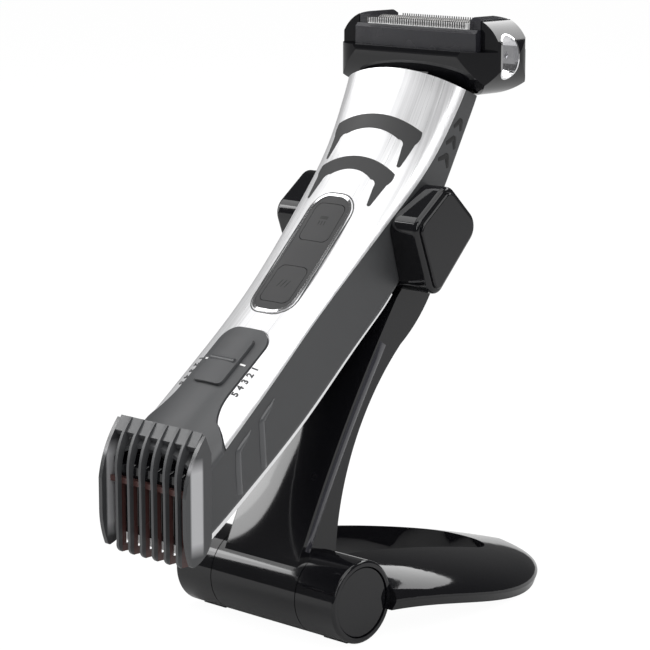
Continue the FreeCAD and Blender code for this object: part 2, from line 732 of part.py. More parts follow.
def toothed_blade(half_w, y0, y1, z_tip, z_top, teeth, pitch, depth, gap):
    s = sym_box(half_w, y0, y1, z_tip, z_top)
    slots = []
    for i in range(teeth + 1):
        x = pitch * (i - teeth / 2.0)
        slots.append(box(x - gap / 2, x + gap / 2, y0 - 1, y1 + 1, z_tip - 1, z_tip + depth))
    return s.cut(Part.makeCompound(slots))


def fixed_blade():
    return toothed_blade(13.6, -47.9, -47.35, 31.2, 41.0, 17, 1.6, 3.0, 0.85)


def moving_blade():
    return toothed_blade(12.0, -47.05, -46.6, 31.9, 43.0, 12, 2.0, 2.4, 1.1)


def blade_carrier():
    block = sym_box(5.0, -46.6, -45.9, 40.0, 53.4)
    slot = sym_box(SLOT_HALF_W, -48, -44, TRIM_MOTOR_Z - 2.0, TRIM_MOTOR_Z + 2.0)
    return block.cut(slot)


def blade_spring():
    """Bent spring leaf that presses the moving blade on the fixed one."""
    leaf = sym_box(9.0, -45.5, -45.2, 37.4, 39.4)
    arms = [box(sx * 9.9 - 0.9, sx * 9.9 + 0.9, -45.5, -45.2, 37.4, 46.0) for sx in (-1, 1)]
    feet = [box(sx * 9.9 - 0.9, sx * 9.9 + 0.9, -45.3, FRAME_Y1, 45.0, 46.0) for sx in (-1, 1)]
    return fuse([leaf] + arms + feet)


# ---------------------------------------------------------------- comb with its length slide
COMB_LIFT, COMB_DEPTH, RECESS_DEPTH = 0.45, 0.45, 1.15
SLIDE_T0, SLIDE_T1, SLIDE_HALF_W = 21.6, 39.0, 5.6
FAN_F = Frame(14.0)


def fan_prism(grow, low=-16.0):
    """Outline of the comb's tongue, which fans out to the full width of the comb."""
    f = FAN_F
    w, top, r = TONGUE_HALF_W + grow, TONGUE_T1 + grow, 5.5
    k = r * (1 - math.sqrt(0.5))
    wide = CHEEK_X + 0.6 + grow
    def p(x, t):
        return f.at(x, t, -1.5)
    segs = [
        (p(-w, top - r), p(-w + k, top - k), p(-w + r, top)),
        (p(-w + r, top), p(w - r, top)),
        (p(w - r, top), p(w - k, top - k), p(w, top - r)),
        (p(w, top - r), p(w, 20.0)),
        (p(w, 20.0), p(w + 0.7, 15.0), p(w + 2.6, 10.5)),
        (p(w + 2.6, 10.5), p(wide - 1.6, 6.0), p(wide, 0.0)),
        (p(wide, 0.0), p(wide, low)),
        (p(wide, low), p(-wide, low)),
        (p(-wide, low), p(-wide, 0.0)),
        (p(-wide, 0.0), p(-(wide - 1.6), 6.0), p(-(w + 2.6), 10.5)),
        (p(-(w + 2.6), 10.5), p(-(w + 0.7), 15.0), p(-w, 20.0)),
        (p(-w, 20.0), p(-w, top - r)),
    ]
    return Part.Face(arc_wire(segs)).extrude(f.out * 14.0)


def slide_prism(grow, n1=12.0):
    f = Frame((SLIDE_T0 + SLIDE_T1) / 2)
    return f.plate(SLIDE_HALF_W + grow, SLIDE_T0 - grow, SLIDE_T1 + grow, -1.0, n1, 1.6 + grow)


def front_layer(lift, depth):
    return handle_loft(lambda t: front_wire(t, -lift, depth))


def rib_profile(x):
    """Side outline of one rib, hanging upright in front of the blades."""
    def p(y, z):
        return V(x, y, z)
    f, tip = COMB_FRONT_Y, COMB_TIP_Z
    inner = f + 1.5
    segs = [
        (p(-46.6, 66.4), p(-50.6, 60.8), p(f, 50.0)),
        (p(f, 50.0), p(f + 0.1, 31.6)),
        (p(f + 0.1, 31.6), p(f + 0.5, 29.6), p(inner, tip)),
        (p(inner, tip), p(inner, 50.0)),
        (p(inner, 50.0), p(-48.6, 59.2), p(-45.4, 63.4)),
        (p(-45.4, 63.4), p(-46.6, 66.4)),
    ]
    return arc_wire(segs)


def rib_positions():
    return [RIB_PITCH * (i - (RIB_COUNT - 1) / 2.0) for i in range(RIB_COUNT)]


def comb_guard():
    fan = front_layer(COMB_LIFT, COMB_DEPTH).common(fan_prism(0.0))
    fan = fan.common(box(-30, 30, -49.4, 60, 0, 140)).cut(slide_prism(0.15)).cut(comb_cheeks())
    ribs = [Part.Face(rib_profile(x - RIB_T / 2)).extrude(V(RIB_T, 0, 0)) for x in rib_positions()]
    brow = side_prism([(-46.4, 66.3), (-49.0, 62.6), (-48.0, 61.0), (-44.9, 63.4)], -16.2, 16.2)
    return fuse([fan, brow] + ribs)


def comb_insert():
    """Smoked inner edge of the ribs, joined by a bar, with feet that reach under the blades."""
    y0 = COMB_FRONT_Y + 1.5
    plates = []
    for x in rib_positions():
        pts = [(y0, COMB_TIP_Z), (-47.4, COMB_TIP_Z), (-46.4, 30.0), (-46.4, 30.8), (-49.3, 30.8),
               (-49.3, 50.0),
               (y0, 50.0)]
        plates.append(side_prism(pts, x - 0.35, x + 0.35))
    bar = sym_box(16.2, y0, -49.3, 48.4, 50.0)
    return fuse([bar] + plates)


def comb_cheeks():
    """Two outer side plates of the comb."""
    def p(y, z):
        return V(16.2, y, z)
    f = COMB_FRONT_Y - 1.6
    segs = [
        (p(-44.4, 60.5), p(-46.6, 65.6)),
        (p(-46.6, 65.6), p(-51.3, 58.4), p(f, 49.5)),
        (p(f, 49.5), p(f, 41.0)),
        (p(f, 41.0), p(f + 0.7, 34.4), p(-52.2, 30.8)),
        (p(-52.2, 30.8), p(-51.6, 30.1), p(-50.8, 30.2)),
        (p(-50.8, 30.2), p(-46.8, 32.6), p(-44.5, 37.0)),
        (p(-44.5, 37.0), p(-44.4, 60.5)),
    ]
    return both(Part.Face(arc_wire(segs)).extrude(V(1.4, 0, 0)))


def length_slide():
    """Thumb plate on the tongue with a ridge across its middle."""
    body = front_layer(1.35, 0.3).common(slide_prism(0.0))
    f = Frame((SLIDE_T0 + SLIDE_T1) / 2)
    t = 30.4
    hf = station_values(t)[1]
    bar = Part.makeCylinder(0.75, 2 * SLIDE_HALF_W - 2.0, f.at(-SLIDE_HALF_W + 1.0, t, hf + 0.95), V(1, 0, 0))
    return fuse([body, bar])


def front_cutters():
    """Everything that is let into the silver shell."""
    cuts = grip_inlays(1.0)
    cuts.append(skin(3.0, lift=1.0).common(panel_prism(0.85)))
    recess = front_layer(1.0, RECESS_DEPTH).common(fan_prism(0.35, low=-30.0))
    cuts.append(recess)
    return cuts


# ---------------------------------------------------------------- stand: base
def loop_half_width(y):
    """Half width of the base at a distance y behind the hinge axis."""
    grow_end = 46.0
    if y < grow_end:
        return BARREL_HALF + (LOOP_HALF_W - BARREL_HALF) * math.sin(math.pi / 2 * max(y, 0) / grow_end)
    k = (y - grow_end) / (LOOP_TIP_Y + 0.35 - grow_end)
    return LOOP_HALF_W * math.sqrt(max(1 - k ** 2.1, 0.0))


def loop_top(y):
    """Height of the crown of the base; it falls in a soft curve to the tip."""
    k = y / LOOP_TIP_Y
    return LOOP_TOP_Z - (LOOP_TOP_Z - LOOP_TIP_Z) * (0.62 * k + 0.38 * k * k)


def loop_bottom(y):
    """Underside: high behind the barrel, down on the table under the tip."""
    k = min(max((y - 10.0) / 66.0, 0.0), 1.0)
    return 7.6 * (1 - k * k * (3 - 2 * k)) if k < 1 else 0.0


def loop_section(y, inset, drop=0.0):
    """Lens-shaped section across the base at y."""
    a = loop_half_width(y) - inset
    lo, hi = loop_bottom(y) - drop, loop_top(y) - inset
    lip = lo + drop + min(2.4, (hi - lo) * 0.4)
    tip = V(0, y, hi)
    centre, side = V(0, y, lip), V(a, y, lip)
    if a > hi - lip:
        top = Part.Arc(Part.Ellipse(side, tip, centre), 0.0, math.pi).toShape()
    else:
        top = Part.Arc(Part.Ellipse(tip, side, centre), -math.pi / 2, math.pi / 2).toShape()
    ends = sorted((v.Point for v in top.Vertexes), key=lambda q: q.x)
    left, right = ends[0], ends[1]
    under = 1.0 if not drop else 0.0
    lo_right, lo_left = V(a - under, y, lo), V(-(a - under), y, lo)
    return Part.Wire(Part.__sortEdges__([
        top, Part.makeLine(left, lo_left), Part.makeLine(lo_left, lo_right), Part.makeLine(lo_right, right)]))


LOOP_YS = [4.0, 14.0, 26.0, 38.0, 50.0, 61.0, 71.0, 79.5, 86.5, 91.5, 95.0, 97.1, LOOP_TIP_Y]


def hole_prism(grow, z0=-5.0, z1=60.0):
    """Opening of the base between its two arms, round at the back."""
    w = SEAM_X + 0.2 + grow
    y_end = LOOP_HOLE_END_Y + grow
    r = 13.0
    k = r * (1 - math.sqrt(0.5))
    def p(x, y):
        return V(x, y, z0)
    segs = [
        (p(-w, -20), p(w, -20)),
        (p(w, -20), p(w, y_end - r)),
        (p(w, y_end - r), p(w - k, y_end - k), p(w - r, y_end)),
        (p(w - r, y_end), p(-w + r, y_end)),
        (p(-w + r, y_end), p(-w + k, y_end - k), p(-w, y_end - r)),
        (p(-w, y_end - r), p(-w, -20)),
    ]
    return Part.Face(arc_wire(segs)).extrude(V(0, 0, z1 - z0))


def loop_blank(inset, drop=0.0, ys=LOOP_YS):
    return Part.makeLoft([loop_section(y, inset, drop) for y in ys], True, False)


def barrel(x0, x1, radius=BARREL_R):
    return rod((x0, 0, HINGE_Z), (x1, 0, HINGE_Z), radius)


def base_pocket():
    ys = [y for y in LOOP_YS if 12.0 < y < 90.0]
    pocket = loop_blank(LOOP_WALL, 6.0, [17.0] + ys[1:])
    keep = hole_prism(LOOP_WALL)
    return pocket.cut(keep)


CAP_R, CAP_DEPTH = 10.3, 2.0


def base_loop():
    s = loop_blank(0.0).cut(hole_prism(0.0))
    s = s.cut(barrel(-60, 60, BARREL_R - 0.5))
    s = s.cut(base_pocket())
    sides = []
    for sx in (-1, 1):
        tube = barrel(min(sx * (SEAM_X + 0.15), sx * BARREL_HALF), max(sx * (SEAM_X + 0.15),
                                                                       sx * BARREL_HALF))
        rim = [e for e in tube.Edges if e.isClosed() and abs(abs(e.CenterOfMass.x) - BARREL_HALF) < 0.01]
        sides.append(tube.makeFillet(0.9, rim))
    s = fuse([s] + sides)
    s = s.cut(barrel(-60, 60, PIN_R))
    for sx in (-1, 1):
        x0, x1 = sorted((sx * (BARREL_HALF - CAP_DEPTH), sx * (BARREL_HALF + 2)))
        s = s.cut(barrel(x0, x1, CAP_R))
    for foot in feet_pads(0.0).Solids:
        s = s.cut(foot)
    for x, y in screw_places():
        s = s.cut(rod((x, y, -1), (x, y, 7.5), 0.9))
    return s.cut(inlet_hole())


def hinge_cap(sx):
    """Dished disc let into the end of the barrel."""
    x0, x1 = sorted((sx * (BARREL_HALF - CAP_DEPTH), sx * (BARREL_HALF - 0.35)))
    disc = barrel(x0, x1, CAP_R - 0.12)
    rim = [e for e in disc.Edges if e.isClosed() and abs(abs(e.CenterOfMass.x) - (BARREL_HALF - 0.35)) < 0.01]
    disc = disc.makeFillet(0.5, rim)
    return disc


def hinge_pin():
    return barrel(-(BARREL_HALF - CAP_DEPTH), BARREL_HALF - CAP_DEPTH, PIN_R - FIT)


def base_cover():
    """Plate that closes the hollow underside of the base."""
    ys = [17.0, 26.0, 38.0, 50.0, 62.0, 72.0, 80.0, 86.0]
    sections = []
    for y in ys:
        a = loop_half_width(y) - LOOP_WALL - 0.1
        z = loop_bottom(y) + 0.25
        pts = [V(-a, y, z), V(a, y, z), V(a, y, z + 1.4), V(-a, y, z + 1.4)]
        sections.append(Part.makePolygon(pts + pts[:1]))
    plate = Part.makeLoft(sections, True, True)
    s = plate.cut(hole_prism(LOOP_WALL + 0.1))
    for x, y in screw_places():
        s = s.cut(rod((x, y, -1), (x, y, 20), 1.9))
    for foot in feet_pads(0.1).Solids:
        s = s.cut(foot)
    return s


def screw_places():
    return [(sx * 27.0, y) for sx in (-1, 1) for y in (34.0, 62.0)]


def base_screws():
    out = []
    for x, y in screw_places():
        z = loop_bottom(y) + 0.5
        head = rod((x, y, z), (x, y, z + 1.2), 1.8)
        out.append(fuse([head, rod((x, y, z + 1.1), (x, y, z + 4.4), 0.9)]))
    return Part.makeCompound(out)


def feet_pads(grow):
    pads = []
    for sx in (-1, 1):
        x0, x1 = sorted((sx * 20.0, sx * 29.0))
        pads.append(box(x0 - grow, x1 + grow, -3.2 - grow, 3.2 + grow, 0.0, 1.6 + grow))
    pads.append(box(-11.0 - grow, 11.0 + grow, 87.0 - grow, 92.5 + grow, 0.0, 1.2 + grow))
    return Part.makeCompound(pads)


def rubber_feet():
    return feet_pads(0.0)


INLET_Y, INLET_Z, INLET_R = 22.0, 11.9, 2.6


def inlet_hole():
    return rod((-45, INLET_Y, INLET_Z), (-27.6, INLET_Y, INLET_Z), INLET_R)


def power_inlet():
    """Low-voltage socket in the left side of the base."""
    sleeve = rod((-45, INLET_Y, INLET_Z), (-27.0, INLET_Y, INLET_Z), INLET_R).common(loop_blank(0.25))
    block = box(-27.5, -20.5, INLET_Y - 3.4, INLET_Y + 3.4, INLET_Z - 2.0, INLET_Z + 2.2)
    s = fuse([sleeve, block]).cut(rod((-45, INLET_Y, INLET_Z), (-26.0, INLET_Y, INLET_Z), 1.75))
    return fuse([s, rod((-31.0, INLET_Y, INLET_Z), (-25.0, INLET_Y, INLET_Z), 0.5)])


# ---------------------------------------------------------------- stand: upright with its yoke
YOKE_F = Frame(97.0)
YOKE_HALF_W = 28.0
YOKE_GAP = 0.35


YOKE_CORNERS = [(89.5, 0.3, 5.0), (108.0, -1.8, 4.4), (108.7, -21.6, 5.4), (79.5, -22.7, 3.6)]
POCKET = (20.7, 26.3, 93.0, -18.6, -4.4)   # x range, floor along the handle, depth range


def yoke_outline(x, inset=0.0):
    """Side outline of an ear: four sides with round corners, in the handle's frame."""
    pts = [YOKE_F.at(x, t, n) for t, n, radius in YOKE_CORNERS]
    ends = []
    for i, p in enumerate(pts):
        a, b = pts[i - 1] - p, pts[(i + 1) % 4] - p
        a.normalize()
        b.normalize()
        half = math.acos(a.dot(b)) / 2
        radius = YOKE_CORNERS[i][2]
        cut = radius / math.tan(half)
        bis = a + b
        bis.normalize()
        ends.append((p + a * cut, p + bis * (radius / math.sin(half) - radius), p + b * cut))
    segs = []
    for i, e in enumerate(ends):
        segs += [e, (e[2], ends[(i + 1) % 4][0])]
    wire = arc_wire(segs)
    return wire.makeOffset2D(-inset) if inset else wire


def yoke_block():
    """Both ears and the saddle between them."""
    face = Part.Face(yoke_outline(-YOKE_HALF_W))
    s = face.extrude(V(2 * YOKE_HALF_W, 0, 0))
    rims = [e for e in s.Edges if abs(abs(e.CenterOfMass.x) - YOKE_HALF_W) < 0.01]
    s = s.makeFillet(1.4, rims)
    s = s.cut(handle_loft(lambda t: body_wire(t, YOKE_GAP)))
    s = s.cut(YOKE_F.box(-(ARM_HALF_W + 1.5), ARM_HALF_W + 1.5, 70, 120, -13.0, 20))
    x0, x1, t0, n0, n1 = POCKET
    pocket = YOKE_F.box(x0, x1, t0, 120, n0, n1)
    return s.cut(pocket).cut(mirror_x(pocket))


def arm_profile(x):
    """Side outline of the upright between the barrel and the yoke."""
    points = [
        ((-11.9, 13.0), (4.9, 47.2), (33.0, 92.5)),
        ((33.0, 92.5), (47.0, 107.5)),
        ((47.0, 107.5), (53.2, 103.6)),
        ((53.2, 103.6), (47.0, 90.8), (34.8, 78.6)),
        ((34.8, 78.6), (18.6, 58.6), (7.4, 21.0)),
        ((7.4, 21.0), (-11.9, 13.0)),
    ]
    return arc_wire([tuple(V(x, y, z) for y, z in seg) for seg in points])


def arm_solid():
    return Part.Face(arm_profile(-ARM_HALF_W)).extrude(V(2 * ARM_HALF_W, 0, 0))


def arm_hollow():
    """Room for the wiring, open at the back where the cover sits."""
    def p(y, z):
        return V(-(ARM_HALF_W - ARM_WALL), y, z)
    segs = [
        (p(1.2, 31.0), p(9.2, 48.8), p(22.0, 68.0)),
        (p(22.0, 68.0), p(33.0, 66.0)),
        (p(33.0, 66.0), p(12.0, 31.0)),
        (p(12.0, 31.0), p(1.2, 31.0)),
    ]
    return Part.Face(arc_wire(segs)).extrude(V(2 * (ARM_HALF_W - ARM_WALL), 0, 0))


def upright_arm():
    tube = barrel(-(SEAM_X - 0.15), SEAM_X - 0.15)
    tube = tube.cut(barrel(-60, 60, PIN_R + FIT))
    arm = arm_solid().cut(barrel(-60, 60, PIN_R + FIT))
    hollow = handle_loft(lambda t: body_wire(t, YOKE_GAP))
    arm = arm.cut(arm_hollow()).cut(hollow)
    s = fuse([tube, arm, yoke_block()])
    for place in stand_contact_holes():
        s = s.cut(place)
    return s


def upright_back_cover():
    """Plate set into the back of the upright."""
    def strip():
        def p(y, z):
            return V(-(ARM_HALF_W - ARM_WALL - 0.1), y, z)
        segs = [
            (p(34.8, 78.6) + V(0, -0.2, 0), p(18.6, 58.6) + V(0, -0.2, 0), p(7.4, 21.0) + V(0, -0.2, 0)),
            (p(7.2, 21.0), p(5.0, 21.6)),
            (p(5.0, 21.6), p(16.3, 59.6), p(32.9, 80.2)),
            (p(32.9, 80.2), p(34.6, 78.6)),
        ]
        return Part.Face(arc_wire(segs)).extrude(V(2 * (ARM_HALF_W - ARM_WALL - 0.1), 0, 0))
    return strip().common(arm_hollow())


def ear_covers():
    """Glossy outer plate on each ear."""
    wire = yoke_outline(YOKE_HALF_W, 1.7)
    plate = Part.Face(wire).extrude(V(0.9, 0, 0))
    rims = [e for e in plate.Edges if abs(e.CenterOfMass.x - (YOKE_HALF_W + 0.9)) < 0.01]
    return both(plate.makeFillet(0.5, rims))


def stand_contact_holes():
    f = Frame(CONTACT_T)
    return [f.post(x, CONTACT_T, -30.0, -16.0, 1.15) for x in (-CONTACT_X, CONTACT_X)]


def stand_contacts():
    """Two sprung pins in the saddle that meet the studs of the handle."""
    hs = station_values(CONTACT_T)[2]
    f = Frame(CONTACT_T)
    back = -(hs + REAR_CROWN)
    pins = []
    for x in (-CONTACT_X, CONTACT_X):
        pins.append(fuse([f.post(x, CONTACT_T, back - 3.0, back - 0.9, 1.15),
                          f.post(x, CONTACT_T, back - 1.0, back + 0.1, 0.7)]))
    return Part.makeCompound(pins)


# ---------------------------------------------------------------- all sub-parts
def build():
    inlays = grip_inlays(INLAY_PROUD)
    trim = rear_trim()
    return {
        "base_loop": base_loop(),
        "base_cover": base_cover(),
        "base_screws": base_screws(),
        "rubber_feet": rubber_feet(),
        "power_inlet": power_inlet(),
        "hinge_pin": hinge_pin(),
        "hinge_cap_left": hinge_cap(-1),
        "hinge_cap_right": hinge_cap(1),
        "upright_arm": upright_arm(),
        "upright_back_cover": upright_back_cover(),
        "ear_covers": ear_covers(),
        "stand_contacts": stand_contacts(),
        "front_shell": front_shell(front_cutters()),
        "rear_shell": rear_shell(trim),
        "rear_trim": trim,
        "grip_inlay_upper": inlays[0],
        "grip_inlay_lower": inlays[1],
        "button_bezel": button_bezel(),
        "button_panel": button_panel(),
        "shaver_button": push_button(BUTTONS["shaver_button"]),
        "trimmer_button": push_button(BUTTONS["trimmer_button"]),
        "chassis": chassis(),
        "battery": battery(),
        "battery_contacts": battery_contacts(),
        "circuit_board": circuit_board(),
        "tact_switches": tact_switches(),
        "charge_contacts": charge_contacts(),
        "case_screws": case_screws(),
        "shaver_motor": motor(shaver_axis, MOTOR_R, MOTOR_LEN),
        "shaver_eccentric": shaver_eccentric(),
        "trimmer_motor": motor(trimmer_axis, TRIM_MOTOR_R, TRIM_MOTOR_LEN),
        "trimmer_eccentric": trimmer_eccentric(),
        "end_plate": end_plate(),
        "neck_collar": neck_collar(),
        "neck_seal": neck_seal(),
        "head_housing": head_housing(),
        "hoop_liners": hoop_liners(),
        "head_neck": head_neck(),
        "tilt_springs": tilt_springs(),
        "pivot_pins": pivot_pins(),
        "foil_frame": foil_frame(),
        "shaving_foil": shaving_foil(),
        "pre_trimmer_front": toothed_strip(57.4, 59.5),
        "pre_trimmer_rear": toothed_strip(71.6, 69.5),
        "foil_cutter": foil_cutter(),
        "cutter_carrier": cutter_carrier(),
        "trimmer_frame": trimmer_frame(),
        "fixed_blade": fixed_blade(),
        "moving_blade": moving_blade(),
        "blade_carrier": blade_carrier(),
        "blade_spring": blade_spring(),
        "comb_guard": comb_guard(),
        "comb_insert": comb_insert(),
        "comb_cheeks": comb_cheeks(),
        "length_slide": length_slide(),
    }


def main():
    os.makedirs("parts", exist_ok=True)
    for name, shape in build().items():
        shape.translate(V(0, PLACE_Y, 0))
        b = shape.BoundBox
        print("%-20s %2d solids %9.1f mm3 valid=%s  x %.1f..%.1f y %.1f..%.1f z %.1f..%.1f" % (
            name, len(shape.Solids), shape.Volume, shape.isValid(), b.XMin, b.XMax, b.YMin, b.YMax, b.ZMin, b.ZMax))
        shape.exportStep(os.path.join("parts", name + ".step"))


if __name__ == "__main__":
    main()
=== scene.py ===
import json
import math

import bmesh
import bpy
from mathutils import Matrix, Vector
from mathutils.bvhtree import BVHTree


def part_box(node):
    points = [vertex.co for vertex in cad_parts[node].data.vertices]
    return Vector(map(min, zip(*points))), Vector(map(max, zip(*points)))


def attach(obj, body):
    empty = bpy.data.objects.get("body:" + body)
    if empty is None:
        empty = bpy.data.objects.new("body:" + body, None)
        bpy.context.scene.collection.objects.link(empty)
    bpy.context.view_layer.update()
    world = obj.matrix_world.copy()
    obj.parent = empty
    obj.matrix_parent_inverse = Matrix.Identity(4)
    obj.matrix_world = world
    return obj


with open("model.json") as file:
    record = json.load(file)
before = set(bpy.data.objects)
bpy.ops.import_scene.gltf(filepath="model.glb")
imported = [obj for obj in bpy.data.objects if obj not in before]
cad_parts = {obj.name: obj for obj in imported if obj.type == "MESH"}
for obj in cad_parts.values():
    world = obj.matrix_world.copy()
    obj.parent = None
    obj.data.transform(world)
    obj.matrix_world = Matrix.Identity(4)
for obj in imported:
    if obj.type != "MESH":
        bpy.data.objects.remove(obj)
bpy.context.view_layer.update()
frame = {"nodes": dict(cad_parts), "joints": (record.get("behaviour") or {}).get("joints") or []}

bl_info = {
    "name": "Body groomer on its charging stand",
    "version": (1, 0, 0),
    "blender": (4, 5, 0),
    "location": "3D View > Sidebar > Groomer",
    "description": "Finishes and small details for a two-ended body groomer and its folding stand",
    "category": "Object",
}

MM = 0.001
NODES = frame["nodes"]
STAND_HINGE = next(j for j in frame["joints"] if j["name"] == "stand_fold")["pos_m"]
PLACE_Y = STAND_HINGE[1]

# The handle's parting line: two arcs in the upright middle plane, sizes in millimetres.
LINE_START = (-42.4, 56.9)
LINE_LEANS = (38.0, 44.0, 68.0)
LINE_LENGTHS = (100.0, 36.0)
# Three points of the upright's front edge, (y, z) in millimetres.
UPRIGHT_FRONT = ((-11.9, 13.0), (4.9, 47.2), (33.0, 92.5))

# Where a search for a surface starts, and how long it is, in metres.
FRONT_START = 0.03
SIDE_START = 0.05
SEARCH_LENGTH = 0.08

PAD_SINK = 0.00012  # how deep the underside of a pad lies
SHARP_ANGLE = 38.0  # edges that turn further stay sharp, in degrees
GRAIN_DEPTH = 0.00002


# ------------------------------------------------------------------ user's sizes and colours
class GroomerFinish(bpy.types.PropertyGroup):
    """Colours and finishes."""

    silver: bpy.props.FloatVectorProperty(
        name="Silver", description="Colour of the silver front shell", subtype="COLOR", size=3,
        min=0.0, max=1.0, default=(0.86, 0.86, 0.87))
    silver_roughness: bpy.props.FloatProperty(
        name="Silver roughness", description="How satin the silver is", subtype="FACTOR",
        min=0.05, max=1.0, default=0.34)
    dark: bpy.props.FloatVectorProperty(
        name="Dark shell", description="Colour of the dark rear shell and comb", subtype="COLOR", size=3,
        min=0.0, max=1.0, default=(0.040, 0.041, 0.043))
    soft: bpy.props.FloatVectorProperty(
        name="Soft touch", description="Colour of the panel and the grip inlays", subtype="COLOR", size=3,
        min=0.0, max=1.0, default=(0.024, 0.024, 0.025))
    gloss: bpy.props.FloatVectorProperty(
        name="Gloss black", description="Colour of the stand and the shaver head", subtype="COLOR", size=3,
        min=0.0, max=1.0, default=(0.004, 0.004, 0.005))
    smoke: bpy.props.FloatVectorProperty(
        name="Smoked plastic", description="Colour of the comb's inner ribs", subtype="COLOR", size=3,
        min=0.0, max=1.0, default=(0.075, 0.034, 0.031))
    cheek: bpy.props.FloatVectorProperty(
        name="Comb cheeks", description="Colour of the comb's side plates", subtype="COLOR", size=3,
        min=0.0, max=1.0, default=(0.36, 0.36, 0.37))


class GroomerDetail(bpy.types.PropertyGroup):
    """Sizes of the small details."""

    large_rise: bpy.props.FloatProperty(
        name="Large chevron height", description="How far the two large chevrons stand out", unit="LENGTH",
        min=0.0001, max=0.001, default=0.00055, precision=5)
    small_rise: bpy.props.FloatProperty(
        name="Small chevron height", description="How far the three small chevrons stand out", unit="LENGTH",
        min=0.0001, max=0.001, default=0.0004, precision=5)
    # The edge beads are coloured lighter than the gloss black: a painted highlight of the upright's lit
    # bevels.
    edge_rise: bpy.props.FloatProperty(
        name="Upright edge height", description="How far the upright's polished edges stand out",
        unit="LENGTH", min=0.0001, max=0.001, default=0.0005, precision=5)
    digit_size: bpy.props.FloatProperty(
        name="Digit size", description="Height of the numbers beside the length slide", unit="LENGTH",
        min=0.001, max=0.004, default=0.0027, precision=4)
    hole_pitch: bpy.props.FloatProperty(
        name="Foil hole pitch", description="Distance between the holes of the foil", unit="LENGTH",
        min=0.0005, max=0.002, default=0.00082, precision=5)
    hole_radius: bpy.props.FloatProperty(
        name="Foil hole radius", description="Radius of a hole of the foil", unit="LENGTH",
        min=0.0001, max=0.0008, default=0.00027, precision=5)
    notch_count: bpy.props.IntProperty(
        name="Notches", description="Number of hair slots in the front of the foil block",
        min=4, max=60, default=44)


class GroomerStage(bpy.types.PropertyGroup):
    """Floor and lights."""

    floor_size: bpy.props.FloatProperty(
        name="Floor size", description="Edge of the square floor", unit="LENGTH",
        min=2.0, max=40.0, default=16.0)
    floor_glow: bpy.props.FloatProperty(
        name="Floor brightness", description="How white the floor is shown", min=0.0, max=4.0, default=1.07)
    top_light: bpy.props.FloatProperty(
        name="Top light", description="Power of the soft light overhead", unit="POWER",
        min=0.0, max=60.0, default=7.6)
    left_light: bpy.props.FloatProperty(
        name="Left light", description="Power of the soft light on the left", unit="POWER",
        min=0.0, max=60.0, default=4.4)
    right_light: bpy.props.FloatProperty(
        name="Right light", description="Power of the soft light on the right", unit="POWER",
        min=0.0, max=60.0, default=4.8)
    front_light: bpy.props.FloatProperty(
        name="Front light", description="Power of the narrow light at the front left", unit="POWER",
        min=0.0, max=60.0, default=4.2)
    edge_light: bpy.props.FloatProperty(
        name="Edge light", description="Power of the narrow light at the front right", unit="POWER",
        min=0.0, max=60.0, default=2.6)
    back_light: bpy.props.FloatProperty(
        name="Back light", description="Power of the long light behind", unit="POWER",
        min=0.0, max=60.0, default=7.0)


GROUPS = {"groomer_finish": GroomerFinish, "groomer_detail": GroomerDetail, "groomer_stage": GroomerStage}


# ------------------------------------------------------------------ places on the handle
def line_point(t):
    """Point and outward normal of the parting line, t millimetres from its lower end."""
    low, mid, top = (math.radians(a) for a in LINE_LEANS)

    def arc(y, z, a0, a1, length, s):
        r = length / (a1 - a0)
        a = a0 + s / r
        return y + r * (math.sin(a) - math.sin(a0)), z + r * (math.cos(a0) - math.cos(a)), a

    y, z, a = arc(LINE_START[0], LINE_START[1], low, mid, LINE_LENGTHS[0], min(t, LINE_LENGTHS[0]))
    if t > LINE_LENGTHS[0]:
        y, z, a = arc(y, z, mid, top, LINE_LENGTHS[1], t - LINE_LENGTHS[0])
    out = Vector((0, -math.sin(a), math.cos(a)))
    return Vector((0, y * MM + PLACE_Y, z * MM)), out


def surface_of(*names):
    """Search tree over the triangles of CAD nodes."""
    points, faces = [], []
    for name in names:
        mesh = NODES[name].data
        start = len(points)
        points += [v.co.copy() for v in mesh.vertices]
        faces += [[start + i for i in p.vertices] for p in mesh.polygons]
    return BVHTree.FromPolygons(points, faces)


def meet(tree, start, direction):
    """Where a straight line first meets a surface, and the surface's outward normal there."""
    hit, normal, _, _ = tree.ray_cast(start, direction, SEARCH_LENGTH)
    if hit is None:
        raise RuntimeError("a detail misses the surface it lies on, near %s" % start)
    return hit, (normal if normal.dot(direction) < 0 else -normal)


def on_front(tree):
    """Maps (x, t) in millimetres to the front of the handle."""
    def place(x, t):
        point, out = line_point(t)
        return meet(tree, point + Vector((x * MM, 0, 0)) + out * FRONT_START, -out)
    return place


def on_side(tree, side):
    """Maps (t, n) in millimetres to the right or left flank of the handle; n is measured outwards."""
    def place(t, n):
        point, out = line_point(t)
        start = point + out * (n * MM)
        start.x = side * SIDE_START
        return meet(tree, start, Vector((-side, 0, 0)))
    return place


# ------------------------------------------------------------------ mesh helpers
def add_piece(name, bm, material, body):
    """Makes an object from a bmesh, gives it its finish and lets it ride on a body."""
    bmesh.ops.recalc_face_normals(bm, faces=bm.faces)
    mesh = bpy.data.meshes.new(name)
    bm.to_mesh(mesh)
    bm.free()
    piece = bpy.data.objects.new(name, mesh)
    bpy.context.scene.collection.objects.link(piece)
    mesh.materials.append(material)
    for polygon in mesh.polygons:
        polygon.use_smooth = True
    mesh.set_sharp_from_angle(angle=math.radians(SHARP_ANGLE))
    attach(piece, body)


